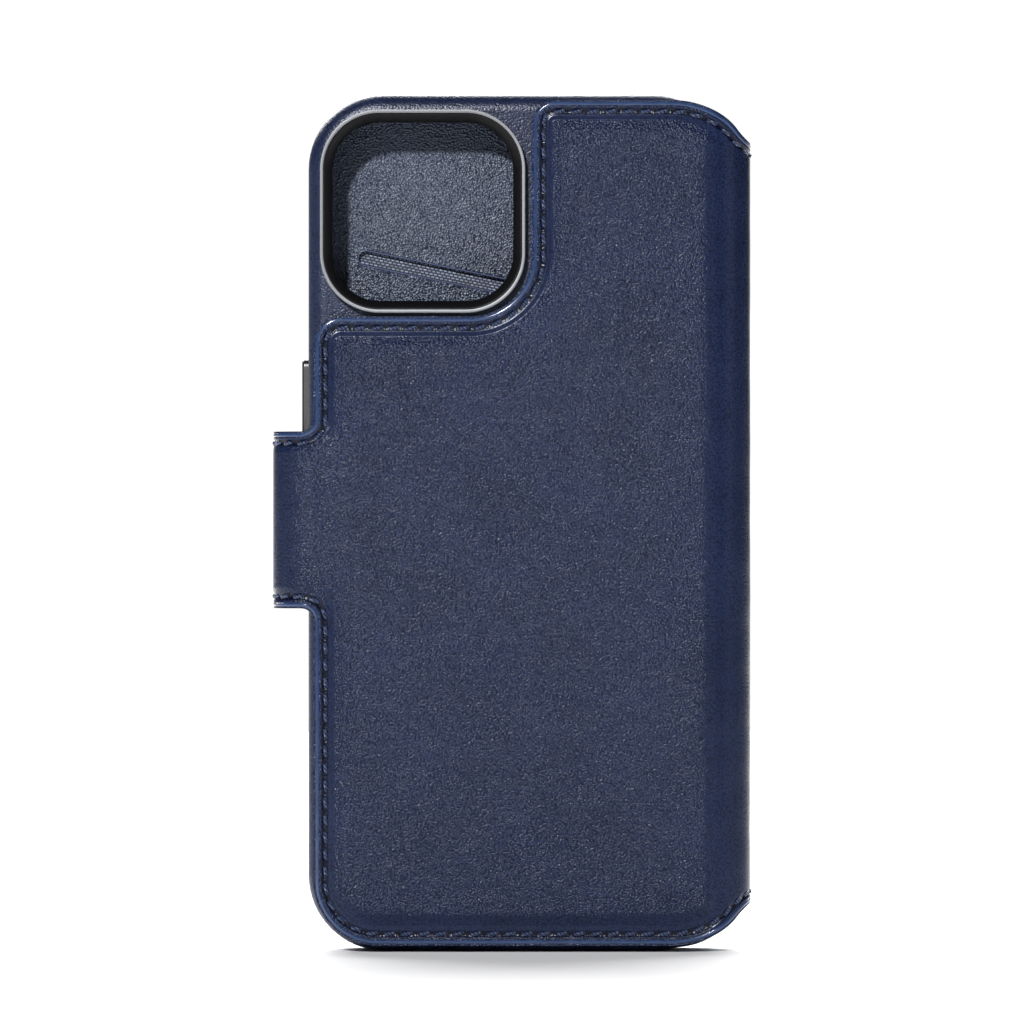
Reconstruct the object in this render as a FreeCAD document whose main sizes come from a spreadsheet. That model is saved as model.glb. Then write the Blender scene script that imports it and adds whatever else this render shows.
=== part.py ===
import FreeCAD, Part
import math
import os
import Sketcher

# A folio wallet case for a 6.1-inch phone, standing upright and closed, in millimetres.
# +Z is up, -Y is the back of the case, +Y its front cover, +X the spine, -X the strap.
# Depths are measured from the face of the padded back panel towards the front cover.

CELLS = {
    # the closed case
    "half_width": 42.45,
    "half_depth": 9.85,
    # the back and front panels
    "panel_left": 35.2,
    "panel_low": 1.1,
    "panel_top": 151.1,
    "front_low": 0.0,
    "free_corner": 11.5,
    "spine_corner": 14.0,
    "spine_corner_start": 28.2,
    "margin_face": 0.6,
    "front_face": 17.4,
    # the layers of the folio
    "leather": 0.9,
    "board": 0.6,
    "lining": 0.5,
    "board_inset": 1.2,
    "board_right": 35.4,
    "board_corner": 6.0,
    # the bends at the spine and in the strap
    "bend_outer": 6.8,
    "fold_gap": 0.1,
    "spine_low": 8.4,
    "spine_top": 143.6,
    # the camera cutout in the back panel
    "cutout_right": 3.5,
    "cutout_low": 112.7,
    "cutout_arc": 11.0,
    "cutout_top_corner": 4.3,
    "cutout_side_corner": 4.9,
    # the raised, padded field of the back panel
    "field_left": 31.1,
    "field_right": 35.0,
    "field_low": 5.9,
    "field_top": 147.3,
    "field_under_camera": 108.8,
    "field_beside_camera": 7.4,
    "field_arc": 15.0,
    "field_corner": 3.0,
    "field_free_corner": 7.0,
    "foam_inset": 1.0,
    "foam_gap": 0.1,
    # the strap
    "strap_low": 60.9,
    "strap_high": 92.3,
    "strap_root_fillet": 2.2,
    "strap_face": 19.7,
    "tongue_end": 15.0,
    "tongue_corner": 7.0,
    "tongue_core_inset": 1.5,
    "strap_magnet_width": 9.0,
    "strap_magnet_height": 6.0,
    "strap_magnet_left": 29.5,
    "keeper_left": 31.0,
    "keeper_right": 18.0,
    "keeper_inset": 3.0,
    "keeper_thickness": 0.4,
    # the card pockets in the front cover
    "card_panel_back": 13.8,
    "card_panel": 0.8,
    "card_panel_inset": 1.0,
    "card_panel_right": 33.5,
    "slot_left": 26.2,
    "slot_right": 27.0,
    "slot_half_width": 1.35,
    "slot_drop": 10.9,
    "slot_pitch": 15.0,
    "top_slot_height": 123.4,
    "pocket_cloth": 0.25,
    "pocket_left": 31.5,
    "pocket_right": 31.0,
    "pocket_low": 7.0,
    "pocket_rise": 5.0,
    # the phone and the shell that clips round it
    "phone_bed": 5.1,
    "pocket_half_width": 35.9,
    "pocket_floor": 2.25,
    "pocket_top": 150.05,
    "pocket_corner": 11.7,
    "lip": 0.5,
    "lip_back": 13.0,
    "shell_centre": 1.3,
    "shell_half_width": 37.5,
    "shell_height": 152.3,
    "shell_corner": 13.4,
    "shell_back": 2.8,
    "shell_front": 13.5,
    "shell_edge": 3.0,
    "skin": 0.7,
    "tray_back": 1.2,
    "bed_lining_gap": 0.2,
    # the camera ring
    "ring_left": 34.1,
    "ring_right": 2.4,
    "ring_low": 113.3,
    "ring_high": 149.4,
    "ring_corner": 10.6,
    "ring_crest": 0.6,
    "ring_wall": 0.8,
    "ring_chamfer": 0.45,
    "bezel_crest": 0.9,
    "bezel_wall": 1.3,
    "bezel_chamfer": 1.0,
    # the ring of magnets that holds the shell to the folio
    "magnet_ring_height": 76.15,
    "magnet_inner": 23.5,
    "magnet_outer": 27.0,
    "magnet_groove_play": 0.1,
    "magnet_thickness": 0.45,
    "shell_magnet_thickness": 0.8,
    "magnet_inner_half": 3.8,
    "magnet_outer_half": 4.4,
    # the buttons and the openings of the shell
    "button_depth": 9.0,
    "button_radius": 1.3,
    "button_play": 0.1,
    "button_flange": 0.6,
    "flange_thickness": 0.35,
    "flange_recess": 0.5,
    "power_low": 87.0,
    "power_high": 105.2,
    "power_proud": 1.2,
    "volume_down_low": 86.5,
    "volume_down_high": 96.5,
    "volume_up_low": 99.5,
    "volume_up_high": 109.5,
    "volume_proud": 0.8,
    "mute_low": 114.0,
    "mute_high": 123.0,
    "mute_radius": 1.9,
    "port_half_width": 6.8,
    "port_radius": 2.9,
    "speaker_start": 11.0,
    "speaker_pitch": 2.6,
    "speaker_radius": 0.8,
    # the reach of cuts that run past the solid they cut, and small plays
    "clear_cut": 60.0,
    "far_side": 200.0,
    "wall_cut": 8.0,
    "wall_overlap": 3.0,
    "trim_margin": 5.0,
    "seat_play": 0.05,
    "magnet_edge_inset": 0.3,
    "strap_magnet_inset": 6.0,
}

MAGNETS_IN_RING = 18
SPEAKER_HOLES = 6

doc = FreeCAD.newDocument("phone_wallet_case")


# ---- the sheet and the texts that read it ----

def make_sheet():
    sheet = doc.addObject("Spreadsheet::Sheet", "dim")
    for row, (name, value) in enumerate(CELLS.items(), start=1):
        sheet.set(f"A{row}", name)
        sheet.set(f"B{row}", str(value))
        sheet.setAlias(f"B{row}", name)
    doc.recompute()


def tokens(text):
    """Split a sum such as "-ring_left + ring_wall" into (sign, cell or number) pairs."""
    pairs = []
    sign = 1
    for word in str(text).split():
        if word in ("+", "-"):
            sign = 1 if word == "+" else -1
            continue
        if word.startswith("-"):
            sign = -sign
            word = word[1:]
        pairs.append((sign, word))
        sign = 1
    return pairs


def number(text):
    """The value of a sum of cells and plain numbers."""
    total = 0.0
    for sign, word in tokens(text):
        value = CELLS[word] if word in CELLS else float(word)
        total += sign * value
    return total


def formula(text):
    """The same sum as an expression that reads the sheet."""
    parts = []
    for sign, word in tokens(text):
        term = f"dim.{word}" if word in CELLS else word
        parts.append(("- " if sign < 0 else "+ ") + term)
    return "0 " + " ".join(parts)


# ---- bodies and sketches ----

def new_body(label):
    """A body whose local Y is the depth behind the padded face."""
    body = doc.addObject("PartDesign::Body", "body_" + label)
    body.Label = label
    body.setExpression("Placement.Base.y", formula("-half_depth"))
    return body


def sketch_on(body, plane, offset, centre=("0", "0")):
    """A sketch parallel to an origin plane, at an offset along that plane's normal.

    On XZ the sketch's axes are X and Z and its normal points to -Y, so a depth is a negative
    offset; on XY they are X and depth, and on YZ they are depth and Z.
    """
    count = len(doc.Objects)
    sketch = body.newObject("Sketcher::SketchObject", f"sketch_{count}")
    origin = [o for o in body.Origin.OriginFeatures if o.Role == plane + "_Plane"][0]
    sketch.AttachmentSupport = [(origin, "")]
    sketch.MapMode = "FlatFace"
    sketch.setExpression("AttachmentOffset.Base.x", formula(centre[0]))
    sketch.setExpression("AttachmentOffset.Base.y", formula(centre[1]))
    sketch.setExpression("AttachmentOffset.Base.z", formula(offset))
    return sketch


def bind(sketch, kind, *where, text):
    """Add a dimension to a sketch and bind it to the sheet."""
    index = sketch.addConstraint(Sketcher.Constraint(kind, *where, number(text)))
    sketch.setExpression(f"Constraints[{index}]", formula(text))


def polygon(sketch, points):
    """A closed outline of straight lines through (x, y) texts."""
    spots = [FreeCAD.Vector(number(x), number(y), 0) for x, y in points]
    first = sketch.GeometryCount
    count = len(spots)
    for i in range(count):
        sketch.addGeometry(Part.LineSegment(spots[i], spots[(i + 1) % count]), False)
    for i in range(count):
        following = first + (i + 1) % count
        sketch.addConstraint(Sketcher.Constraint("Coincident", first + i, 2, following, 1))
    for i, (x, y) in enumerate(points):
        bind(sketch, "DistanceX", -1, 1, first + i, 1, text=x)
        bind(sketch, "DistanceY", -1, 1, first + i, 1, text=y)


def outline(sketch, corners):
    """A closed outline of level and upright lines; each corner is (x, y, radius text or "")."""
    count = len(corners)
    spots = [FreeCAD.Vector(number(x), number(y), 0) for x, y, _ in corners]
    radii = [number(r) if r else 0.0 for _, _, r in corners]
    along = []
    for i in range(count):
        run = spots[(i + 1) % count] - spots[i]
        along.append(run / run.Length)
    lines = []
    for i in range(count):
        start = spots[i] + along[i] * radii[i]
        end = spots[(i + 1) % count] - along[i] * radii[(i + 1) % count]
        lines.append(sketch.addGeometry(Part.LineSegment(start, end), False))
    up = FreeCAD.Vector(0, 0, 1)
    for i in range(count):
        before = lines[i - 1]
        after = lines[i]
        if not radii[i]:
            sketch.addConstraint(Sketcher.Constraint("Coincident", before, 2, after, 1))
            continue
        arrive = along[i - 1]
        leave = along[i]
        start = spots[i] - arrive * radii[i]
        end = spots[i] + leave * radii[i]
        centre = start + leave * radii[i]
        left_turn = arrive.cross(leave).z > 0
        if not left_turn:
            start, end = end, start
        first = math.atan2(start.y - centre.y, start.x - centre.x)
        whole = Part.Circle(centre, up, radii[i])
        arc = sketch.addGeometry(Part.ArcOfCircle(whole, first, first + math.pi / 2), False)
        near, far = (1, 2) if left_turn else (2, 1)
        sketch.addConstraint(Sketcher.Constraint("Tangent", before, 2, arc, near))
        sketch.addConstraint(Sketcher.Constraint("Tangent", arc, far, after, 1))
        bind(sketch, "Radius", arc, text=corners[i][2])
    for i, line in enumerate(lines):
        level = abs(along[i].y) < 0.5
        direction = "Horizontal" if level else "Vertical"
        sketch.addConstraint(Sketcher.Constraint(direction, line))
        kind = "DistanceY" if level else "DistanceX"
        bind(sketch, kind, -1, 1, line, 1, text=corners[i][1 if level else 0])


def circle(sketch, x, y, radius):
    centre = FreeCAD.Vector(number(x), number(y), 0)
    up = FreeCAD.Vector(0, 0, 1)
    ring = sketch.addGeometry(Part.Circle(centre, up, number(radius)), False)
    bind(sketch, "DistanceX", -1, 1, ring, 3, text=x)
    bind(sketch, "DistanceY", -1, 1, ring, 3, text=y)
    bind(sketch, "Radius", ring, text=radius)


def slot(sketch, start, end, radius):
    """A stadium between two centres, each an (x, y) pair of texts."""
    a = FreeCAD.Vector(number(start[0]), number(start[1]), 0)
    b = FreeCAD.Vector(number(end[0]), number(end[1]), 0)
    r = number(radius)
    up = FreeCAD.Vector(0, 0, 1)
    along = (b - a) / (b - a).Length
    side = up.cross(along) * r
    low = sketch.addGeometry(Part.LineSegment(a - side, b - side), False)
    high = sketch.addGeometry(Part.LineSegment(b + side, a + side), False)
    caps = []
    for centre, first, middle, last in ((b, b - side, b + along * r, b + side),
                                        (a, a + side, a - along * r, a - side)):
        caps.append(sketch.addGeometry(Part.Arc(first, middle, last), False))
    sketch.addConstraint(Sketcher.Constraint("Tangent", low, 2, caps[0], 1))
    sketch.addConstraint(Sketcher.Constraint("Tangent", caps[0], 2, high, 1))
    sketch.addConstraint(Sketcher.Constraint("Tangent", high, 2, caps[1], 1))
    sketch.addConstraint(Sketcher.Constraint("Tangent", caps[1], 2, low, 1))
    bind(sketch, "DistanceX", -1, 1, caps[1], 3, text=start[0])
    bind(sketch, "DistanceY", -1, 1, caps[1], 3, text=start[1])
    bind(sketch, "DistanceX", -1, 1, caps[0], 3, text=end[0])
    bind(sketch, "DistanceY", -1, 1, caps[0], 3, text=end[1])
    bind(sketch, "Radius", caps[0], text=radius)


# ---- features ----

def pad(body, sketch, length, backwards=False):
    """Raise a sketch along its normal, or against it when backwards is set."""
    feature = body.newObject("PartDesign::Pad", f"pad_{len(doc.Objects)}")
    feature.Profile = sketch
    feature.setExpression("Length", formula(length))
    feature.Reversed = backwards
    doc.recompute()
    return feature


def pad_depth(body, sketch, length):
    """Raise a sketch on XZ towards the front cover."""
    return pad(body, sketch, length, backwards=True)


def cut(body, sketch, length, along_normal=False, both_ways=False):
    """Cut a sketch away against its normal, or along it, and make sure that something goes."""
    before = body.Shape.Volume
    feature = body.newObject("PartDesign::Pocket", f"pocket_{len(doc.Objects)}")
    feature.Profile = sketch
    feature.setExpression("Length", formula(length))
    feature.Reversed = along_normal
    feature.SideType = "Symmetric" if both_ways else "One side"
    doc.recompute()
    if body.Shape.Volume > before - 1e-3:
        raise RuntimeError(f"{body.Label}: a cut takes nothing away")
    return feature


def edges_along(shape, direction, spots):
    """Names of the straight edges that run along a direction through any of the spots."""
    names = []
    for i, edge in enumerate(shape.Edges, start=1):
        if edge.Curve.TypeId != "Part::GeomLine":
            continue
        if abs(abs(edge.Curve.Direction.dot(direction)) - 1) > 1e-6:
            continue
        for spot in spots:
            offset = edge.Vertexes[0].Point - spot
            if (offset - direction * offset.dot(direction)).Length < 1e-3:
                names.append(f"Edge{i}")
    return names


def edges_at_depth(shape, depth, margin=None, inner=True):
    """Names of the edges at one depth; a margin keeps the inner or the outer loop of a ring."""
    names = []
    whole = shape.BoundBox
    for i, edge in enumerate(shape.Edges, start=1):
        box = edge.BoundBox
        if abs(box.YMin - depth) > 1e-3 or abs(box.YMax - depth) > 1e-3:
            continue
        reach = min(box.XMin - whole.XMin, whole.XMax - box.XMax,
                    box.ZMin - whole.ZMin, whole.ZMax - box.ZMax)
        if margin is None or (reach > margin) == inner:
            names.append(f"Edge{i}")
    return names


def dress(body, kind, edges, size):
    """Round or chamfer named edges of the body's last feature."""
    base = body.Tip
    feature = body.newObject("PartDesign::" + kind, f"{kind.lower()}_{len(doc.Objects)}")
    feature.Base = (base, edges)
    cell = "Radius" if kind == "Fillet" else "Size"
    feature.setExpression(cell, formula(size))
    doc.recompute()
    return feature


# ---- layers of the folio ----

Z_AXIS = FreeCAD.Vector(0, 0, 1)

# what lies outside each layer of a bend
OUTSIDE = {"leather": [], "board": ["leather"], "lining": ["leather", "board"]}

SPINE = 1
STRAP = -1
BACK = 1
FRONT = -1


def more(text, cells):
    return " ".join([text] + [f"+ {cell}" for cell in cells])


def less(text, cells):
    return " ".join([text] + [f"- {cell}" for cell in cells])


def wall_x(side, cells):
    """The X of a layer's upright wall, this many layers in from the outside."""
    return less("half_width", cells) if side == SPINE else more("-half_width", cells)


def arm_depth(turn, face, cells):
    """The depth of a layer's flat arm, this many layers in from its outer face."""
    return more(face, cells) if turn == BACK else less(face, cells)


def bend_fillets(body, bends, layer):
    """Round both faces of a layer at each bend, a (side, turn, face) triple."""
    outer = OUTSIDE[layer]
    inner = outer + [layer]
    for cells in (outer, inner):
        spots = []
        for side, turn, face in bends:
            x = number(wall_x(side, cells))
            spots.append(FreeCAD.Vector(x, number(arm_depth(turn, face, cells)), 0))
        edges = edges_along(body.Tip.Shape, Z_AXIS, spots)
        dress(body, "Fillet", edges, less("bend_outer", cells))


def fold_cut(body, side, turn, face, keep_arm):
    """Cut a bent layer along the radial plane of its bend, and keep its flat arm or its wall."""
    far = "- clear_cut" if side == STRAP else "+ clear_cut"
    near = "+ clear_cut" if side == STRAP else "- clear_cut"
    centre_x = wall_x(side, ["bend_outer"])
    centre_y = arm_depth(turn, face, ["bend_outer"])
    away = "-" if (side == SPINE) == keep_arm else "+"
    start_x = f"{centre_x} {away} fold_gap"
    out_x = f"{start_x} {'+' if side == SPINE else '-'} 10"
    outward = "- 10" if turn == BACK else "+ 10"
    inward = "+ 30" if turn == BACK else "- 30"
    points = [(start_x, centre_y), (out_x, f"{centre_y} {outward}")]
    if keep_arm:
        points += [(f"{centre_x} {far}", f"{centre_y} {outward}"),
                   (f"{centre_x} {far}", f"{centre_y} {inward}"),
                   (start_x, f"{centre_y} {inward}")]
    else:
        points += [(f"{centre_x} {near} {near}", f"{centre_y} {outward}"),
                   (f"{centre_x} {near} {near}", centre_y)]
    sketch = sketch_on(body, "XY", "0")
    polygon(sketch, points)
    cut(body, sketch, "far_side + far_side", both_ways=True)


def trim(body, corners):
    """Cut away everything outside an outline in X and Z."""
    sketch = sketch_on(body, "XZ", "0")
    above = "far_side + far_side"
    polygon(sketch, [("-far_side", "-far_side"), ("far_side", "-far_side"),
                     ("far_side", above), ("-far_side", above)])
    outline(sketch, corners)
    cut(body, sketch, "far_side", both_ways=True)


def back_outline(strap_root, inset):
    """The back panel's outline; the inset is a list of cells."""
    right = less("spine_corner_start + spine_corner", inset)
    left = more("-panel_left", inset)
    low = more("panel_low", inset)
    top = less("panel_top", inset)
    corners = [(left, low, less("free_corner", inset)),
               (right, low, "spine_corner"),
               (right, top, "spine_corner"),
               (more("cutout_right", inset), top, less("cutout_top_corner", inset)),
               (more("cutout_right", inset), less("cutout_low", inset), more("cutout_arc", inset)),
               (left, less("cutout_low", inset), less("cutout_side_corner", inset))]
    if strap_root:
        corners += [(left, "strap_high", "strap_root_fillet"),
                    ("-half_width - trim_margin", "strap_high", ""),
                    ("-half_width - trim_margin", "strap_low", ""),
                    (left, "strap_low", "strap_root_fillet")]
    return corners


def back_layer(label, layer):
    """A layer of the back panel that runs into the bends at the spine and at the strap."""
    body = new_body(label)
    outer = OUTSIDE[layer]
    inner = outer + [layer]
    shallow = arm_depth(BACK, "margin_face", outer)
    deep = arm_depth(BACK, "margin_face", inner)
    sketch = sketch_on(body, "XY", "panel_low")
    polygon(sketch, [(wall_x(STRAP, outer), "half_depth"), (wall_x(STRAP, outer), shallow),
                     (wall_x(SPINE, outer), shallow), (wall_x(SPINE, outer), "half_depth"),
                     (wall_x(SPINE, inner), "half_depth"), (wall_x(SPINE, inner), deep),
                     (wall_x(STRAP, inner), deep), (wall_x(STRAP, inner), "half_depth")])
    pad(body, sketch, "panel_top - panel_low")
    bends = [(STRAP, BACK, "margin_face"), (SPINE, BACK, "margin_face")]
    bend_fillets(body, bends, layer)
    for side, turn, face in bends:
        fold_cut(body, side, turn, face, keep_arm=True)
    return body


def arm_layer(label, layer, side, face, reach, low, high):
    """A layer of the front cover or of the strap's tongue: one flat arm and half a bend."""
    body = new_body(label)
    outer = OUTSIDE[layer]
    inner = outer + [layer]
    shallow = arm_depth(FRONT, face, outer)
    deep = arm_depth(FRONT, face, inner)
    sketch = sketch_on(body, "XY", low)
    polygon(sketch, [(reach, shallow), (wall_x(side, outer), shallow),
                     (wall_x(side, outer), "margin_face"), (wall_x(side, inner), "margin_face"),
                     (wall_x(side, inner), deep), (reach, deep)])
    pad(body, sketch, less(high, [low]))
    bend_fillets(body, [(side, FRONT, face)], layer)
    fold_cut(body, side, FRONT, face, keep_arm=True)
    return body


def wall_layer(label, layer, side, face, low, high):
    """A layer of the spine or of the strap's side: a wall and half a bend at each end."""
    body = new_body(label)
    outer = OUTSIDE[layer]
    inner = outer + [layer]
    reach = wall_x(side, ["bend_outer", "leather"])
    sketch = sketch_on(body, "XY", low)
    back = "margin_face"
    polygon(sketch, [(reach, arm_depth(BACK, back, outer)),
                     (wall_x(side, outer), arm_depth(BACK, back, outer)),
                     (wall_x(side, outer), arm_depth(FRONT, face, outer)),
                     (reach, arm_depth(FRONT, face, outer)),
                     (reach, arm_depth(FRONT, face, inner)),
                     (wall_x(side, inner), arm_depth(FRONT, face, inner)),
                     (wall_x(side, inner), arm_depth(BACK, back, inner)),
                     (reach, arm_depth(BACK, back, inner))])
    pad(body, sketch, less(high, [low]))
    bends = [(side, BACK, back), (side, FRONT, face)]
    bend_fillets(body, bends, layer)
    for _, turn, bend_face in bends:
        fold_cut(body, side, turn, bend_face, keep_arm=False)
    return body


def plate(label, depth, thickness, corners):
    """A flat piece: an outline at a depth, raised towards the front cover."""
    body = new_body(label)
    sketch = sketch_on(body, "XZ", negative(depth))
    outline(sketch, corners)
    pad_depth(body, sketch, thickness)
    return body


def negative(text):
    """The same sum with its sign turned."""
    turned = [("-" if sign > 0 else "+") + " " + word for sign, word in tokens(text)]
    return "0 " + " ".join(turned)


def box_corners(left, right, low, high, radius=""):
    return [(left, low, radius), (right, low, radius), (right, high, radius), (left, high, radius)]


def cut_outline(body, depth, length, corners, towards_back=False):
    """Cut an outline out of a piece, from a depth towards the front cover or the back."""
    sketch = sketch_on(body, "XZ", negative(depth))
    outline(sketch, corners)
    cut(body, sketch, length, along_normal=towards_back)


# ---- the back panel ----

def field_corners(inset):
    """The raised field's outline, drawn in by a list of cells."""
    left = more("-field_left", inset)
    right = less("field_right", inset)
    low = more("field_low", inset)
    top = less("field_top", inset)
    beside = more("field_beside_camera", inset)
    under = less("field_under_camera", inset)
    return [(left, low, less("field_free_corner", inset)), (right, low, "field_corner"),
            (right, top, "field_corner"), (beside, top, "field_corner"),
            (beside, under, more("field_arc", inset)), (left, under, "field_corner")]


def make_back_leather():
    body = back_layer("back_leather", "leather")
    field = sketch_on(body, "XZ", "0")
    outline(field, field_corners([]))
    pad_depth(body, field, "margin_face")
    cut_outline(body, "margin_face + leather", "margin_face", field_corners(["foam_inset"]),
                towards_back=True)
    trim(body, back_outline(True, []))


def make_back_lining():
    body = back_layer("back_lining", "lining")
    trim(body, back_outline(True, []))


def make_back_foam():
    plate("back_foam", "leather", "margin_face", field_corners(["foam_inset", "foam_gap"]))


def magnet_groove(body, depth, thickness, towards_back):
    """Cut the ring-shaped groove that the magnets lie in."""
    sketch = sketch_on(body, "XZ", negative(depth), ("shell_centre", "magnet_ring_height"))
    circle(sketch, "0", "0", "magnet_inner - magnet_groove_play")
    circle(sketch, "0", "0", "magnet_outer + magnet_groove_play")
    cut(body, sketch, thickness, along_normal=towards_back)


def magnet_ring(label, depth, thickness):
    """Magnets spaced round a ring; each is a block that widens towards its outer end."""
    body = new_body(label)
    sketch = sketch_on(body, "XZ", negative(depth), ("shell_centre", "magnet_ring_height"))
    outer = "magnet_outer - magnet_edge_inset"
    polygon(sketch, [("magnet_inner", "-magnet_inner_half"), (outer, "-magnet_outer_half"),
                     (outer, "magnet_outer_half"), ("magnet_inner", "magnet_inner_half")])
    block = pad_depth(body, sketch, thickness)
    pattern = body.newObject("PartDesign::PolarPattern", "pattern_" + label)
    pattern.Originals = [block]
    pattern.Axis = (sketch, ["N_Axis"])
    pattern.Angle = 360
    pattern.Occurrences = MAGNETS_IN_RING
    body.Tip = pattern
    doc.recompute()


def make_back_board():
    inset = ["board_inset"]
    left = more("-panel_left", inset)
    low = more("panel_low", inset)
    top = less("panel_top", inset)
    body = plate("back_board", "margin_face + leather", "board", [
        (left, low, less("free_corner", inset)), ("board_right", low, "board_corner"),
        ("board_right", top, "board_corner"),
        (more("cutout_right", inset), top, less("cutout_top_corner", inset)),
        (more("cutout_right", inset), less("cutout_low", inset), more("cutout_arc", inset)),
        (left, less("cutout_low", inset), less("cutout_side_corner", inset))])
    magnet_groove(body, "margin_face + leather + board", "magnet_thickness + seat_play", True)


def make_back_magnets():
    magnet_ring("back_magnets", "margin_face + leather + board - magnet_thickness",
                "magnet_thickness")


# ---- the spine ----

def make_spine():
    wall_layer("spine_leather", "leather", SPINE, "front_face", "spine_low", "spine_top")
    wall_layer("spine_lining", "lining", SPINE, "front_face", "spine_low", "spine_top")
    inset = "board_inset"
    body = new_body("spine_board")
    sketch = sketch_on(body, "XY", more("spine_low", [inset]))
    near = "margin_face + bend_outer"
    far = "front_face - bend_outer"
    polygon(sketch, [("half_width - leather", near), ("half_width - leather", far),
                     ("half_width - leather - board", far), ("half_width - leather - board", near)])
    pad(body, sketch, less("spine_top - spine_low", [inset, inset]))


# ---- the front cover ----

def front_outline():
    right = "spine_corner_start + spine_corner"
    return [("-panel_left", "front_low", "free_corner"), (right, "front_low", "spine_corner"),
            (right, "panel_top", "spine_corner"), ("-panel_left", "panel_top", "free_corner")]


def make_front_layers():
    for label, layer in (("front_leather", "leather"), ("front_lining", "lining")):
        body = arm_layer(label, layer, SPINE, "front_face", "-panel_left - trim_margin", "front_low",
                         "panel_top")
        trim(body, front_outline())


def keeper_corners(play):
    return box_corners(less("-keeper_left", play), more("-keeper_right", play),
                       less(more("strap_low", ["keeper_inset"]), play),
                       more(less("strap_high", ["keeper_inset"]), play), "flange_recess")


def make_front_board():
    inset = ["board_inset"]
    depth = "front_face - leather - board"
    left = more("-panel_left", inset)
    low = more("front_low", inset)
    top = less("panel_top", inset)
    body = plate("front_board", depth, "board", [
        (left, low, less("free_corner", inset)), ("board_right", low, "board_corner"),
        ("board_right", top, "board_corner"), (left, top, less("free_corner", inset))])
    cut_outline(body, "front_face - leather", "keeper_thickness + seat_play",
                keeper_corners(["foam_gap"]), towards_back=True)
    plate("keeper_plate", "front_face - leather - keeper_thickness", "keeper_thickness",
          keeper_corners([]))


def make_card_pockets():
    body = plate("card_panel", "card_panel_back", "card_panel", [
        ("-panel_left + card_panel_inset", "front_low + card_panel_inset",
         "free_corner - card_panel_inset"),
        ("card_panel_right", "front_low + card_panel_inset", "board_corner"),
        ("card_panel_right", "panel_top - card_panel_inset", "board_corner"),
        ("-panel_left + card_panel_inset", "panel_top - card_panel_inset",
         "free_corner - card_panel_inset")])
    mouths = sketch_on(body, "XZ", "0")
    height = "top_slot_height"
    for name, layer in (("upper", 0), ("middle", 1), ("lower", 2)):
        slot(mouths, ("-slot_left", height), ("slot_right", f"{height} - slot_drop"),
             "slot_half_width")
        depth = more("card_panel_back + card_panel", ["pocket_cloth"] * (2 - layer))
        plate(f"card_pocket_{name}", depth, "pocket_cloth",
              box_corners("-pocket_left", "pocket_right", "pocket_low",
                          f"{height} + pocket_rise", "field_corner"))
        height += " - slot_pitch"
    cut(body, mouths, "clear_cut", both_ways=True)


# ---- the strap ----

def make_strap():
    for part, layer in (("leather", "leather"), ("lining", "lining")):
        wall_layer(f"strap_side_{part}", layer, STRAP, "strap_face", "strap_low", "strap_high")
        body = arm_layer(f"strap_tongue_{part}", layer, STRAP, "strap_face", "-tongue_end",
                         "strap_low", "strap_high")
        trim(body, [("-half_width - trim_margin", "strap_low", ""),
                    ("-tongue_end", "strap_low", "tongue_corner"),
                    ("-tongue_end", "strap_high", "tongue_corner"),
                    ("-half_width - trim_margin", "strap_high", "")])
    inset = "tongue_core_inset"
    body = new_body("strap_side_board")
    sketch = sketch_on(body, "XY", more("strap_low", [inset]))
    near = "margin_face + bend_outer"
    far = "strap_face - bend_outer"
    polygon(sketch, [("-half_width + leather", near), ("-half_width + leather", far),
                     ("-half_width + leather + board", far),
                     ("-half_width + leather + board", near)])
    pad(body, sketch, less("strap_high - strap_low", [inset, inset]))


def make_tongue_core():
    inset = "tongue_core_inset"
    depth = "strap_face - leather - board"
    low = f"strap_low + {inset}"
    high = f"strap_high - {inset}"
    end = f"-tongue_end - {inset}"
    body = plate("strap_tongue_board", depth, "board", [
        ("-half_width + bend_outer", low, ""), (end, low, f"tongue_corner - {inset}"),
        (end, high, f"tongue_corner - {inset}"), ("-half_width + bend_outer", high, "")])
    magnets = new_body("strap_magnets")
    blocks = sketch_on(magnets, "XZ", negative(depth))
    windows = sketch_on(body, "XZ", negative(depth))
    left = "-strap_magnet_left"
    right = "-strap_magnet_left + strap_magnet_width"
    for low_edge in ("strap_low + strap_magnet_inset",
                     "strap_high - strap_magnet_inset - strap_magnet_height"):
        high_edge = low_edge + " + strap_magnet_height"
        outline(blocks, box_corners(left, right, low_edge, high_edge, "flange_recess"))
        outline(windows, box_corners(left + " - foam_gap", right + " + foam_gap",
                                     low_edge + " - foam_gap", high_edge + " + foam_gap",
                                     "flange_recess"))
    pad_depth(magnets, blocks, "board")
    cut(body, windows, "board")


# ---- the phone shell ----

def shell_box(inset, radius):
    """A rounded outline of the shell, drawn in by a list of cells."""
    return box_corners(more("shell_centre - shell_half_width", inset),
                       less("shell_centre + shell_half_width", inset),
                       more("0", inset), less("shell_height", inset), radius)


def ring_box(inset):
    return box_corners(more("-ring_left", inset), less("ring_right", inset),
                       more("ring_low", inset), less("ring_high", inset),
                       less("ring_corner", inset))


def rounded_tray(label, inset, depth):
    """A solid block of the shell's outer form, its back edge rounded."""
    corners = shell_box(inset, less("shell_corner", inset))
    body = plate(label, depth, f"shell_front + {negative(depth)}", corners)
    edges = edges_at_depth(body.Tip.Shape, number(depth))
    dress(body, "Fillet", edges, less("shell_edge", inset))
    return body


def wall_inside(side, inset=()):
    """The X of the phone's space at a side wall, drawn in by a list of cells."""
    if side == SPINE:
        return less("shell_centre + pocket_half_width", inset)
    return more("shell_centre - pocket_half_width", inset)


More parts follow.
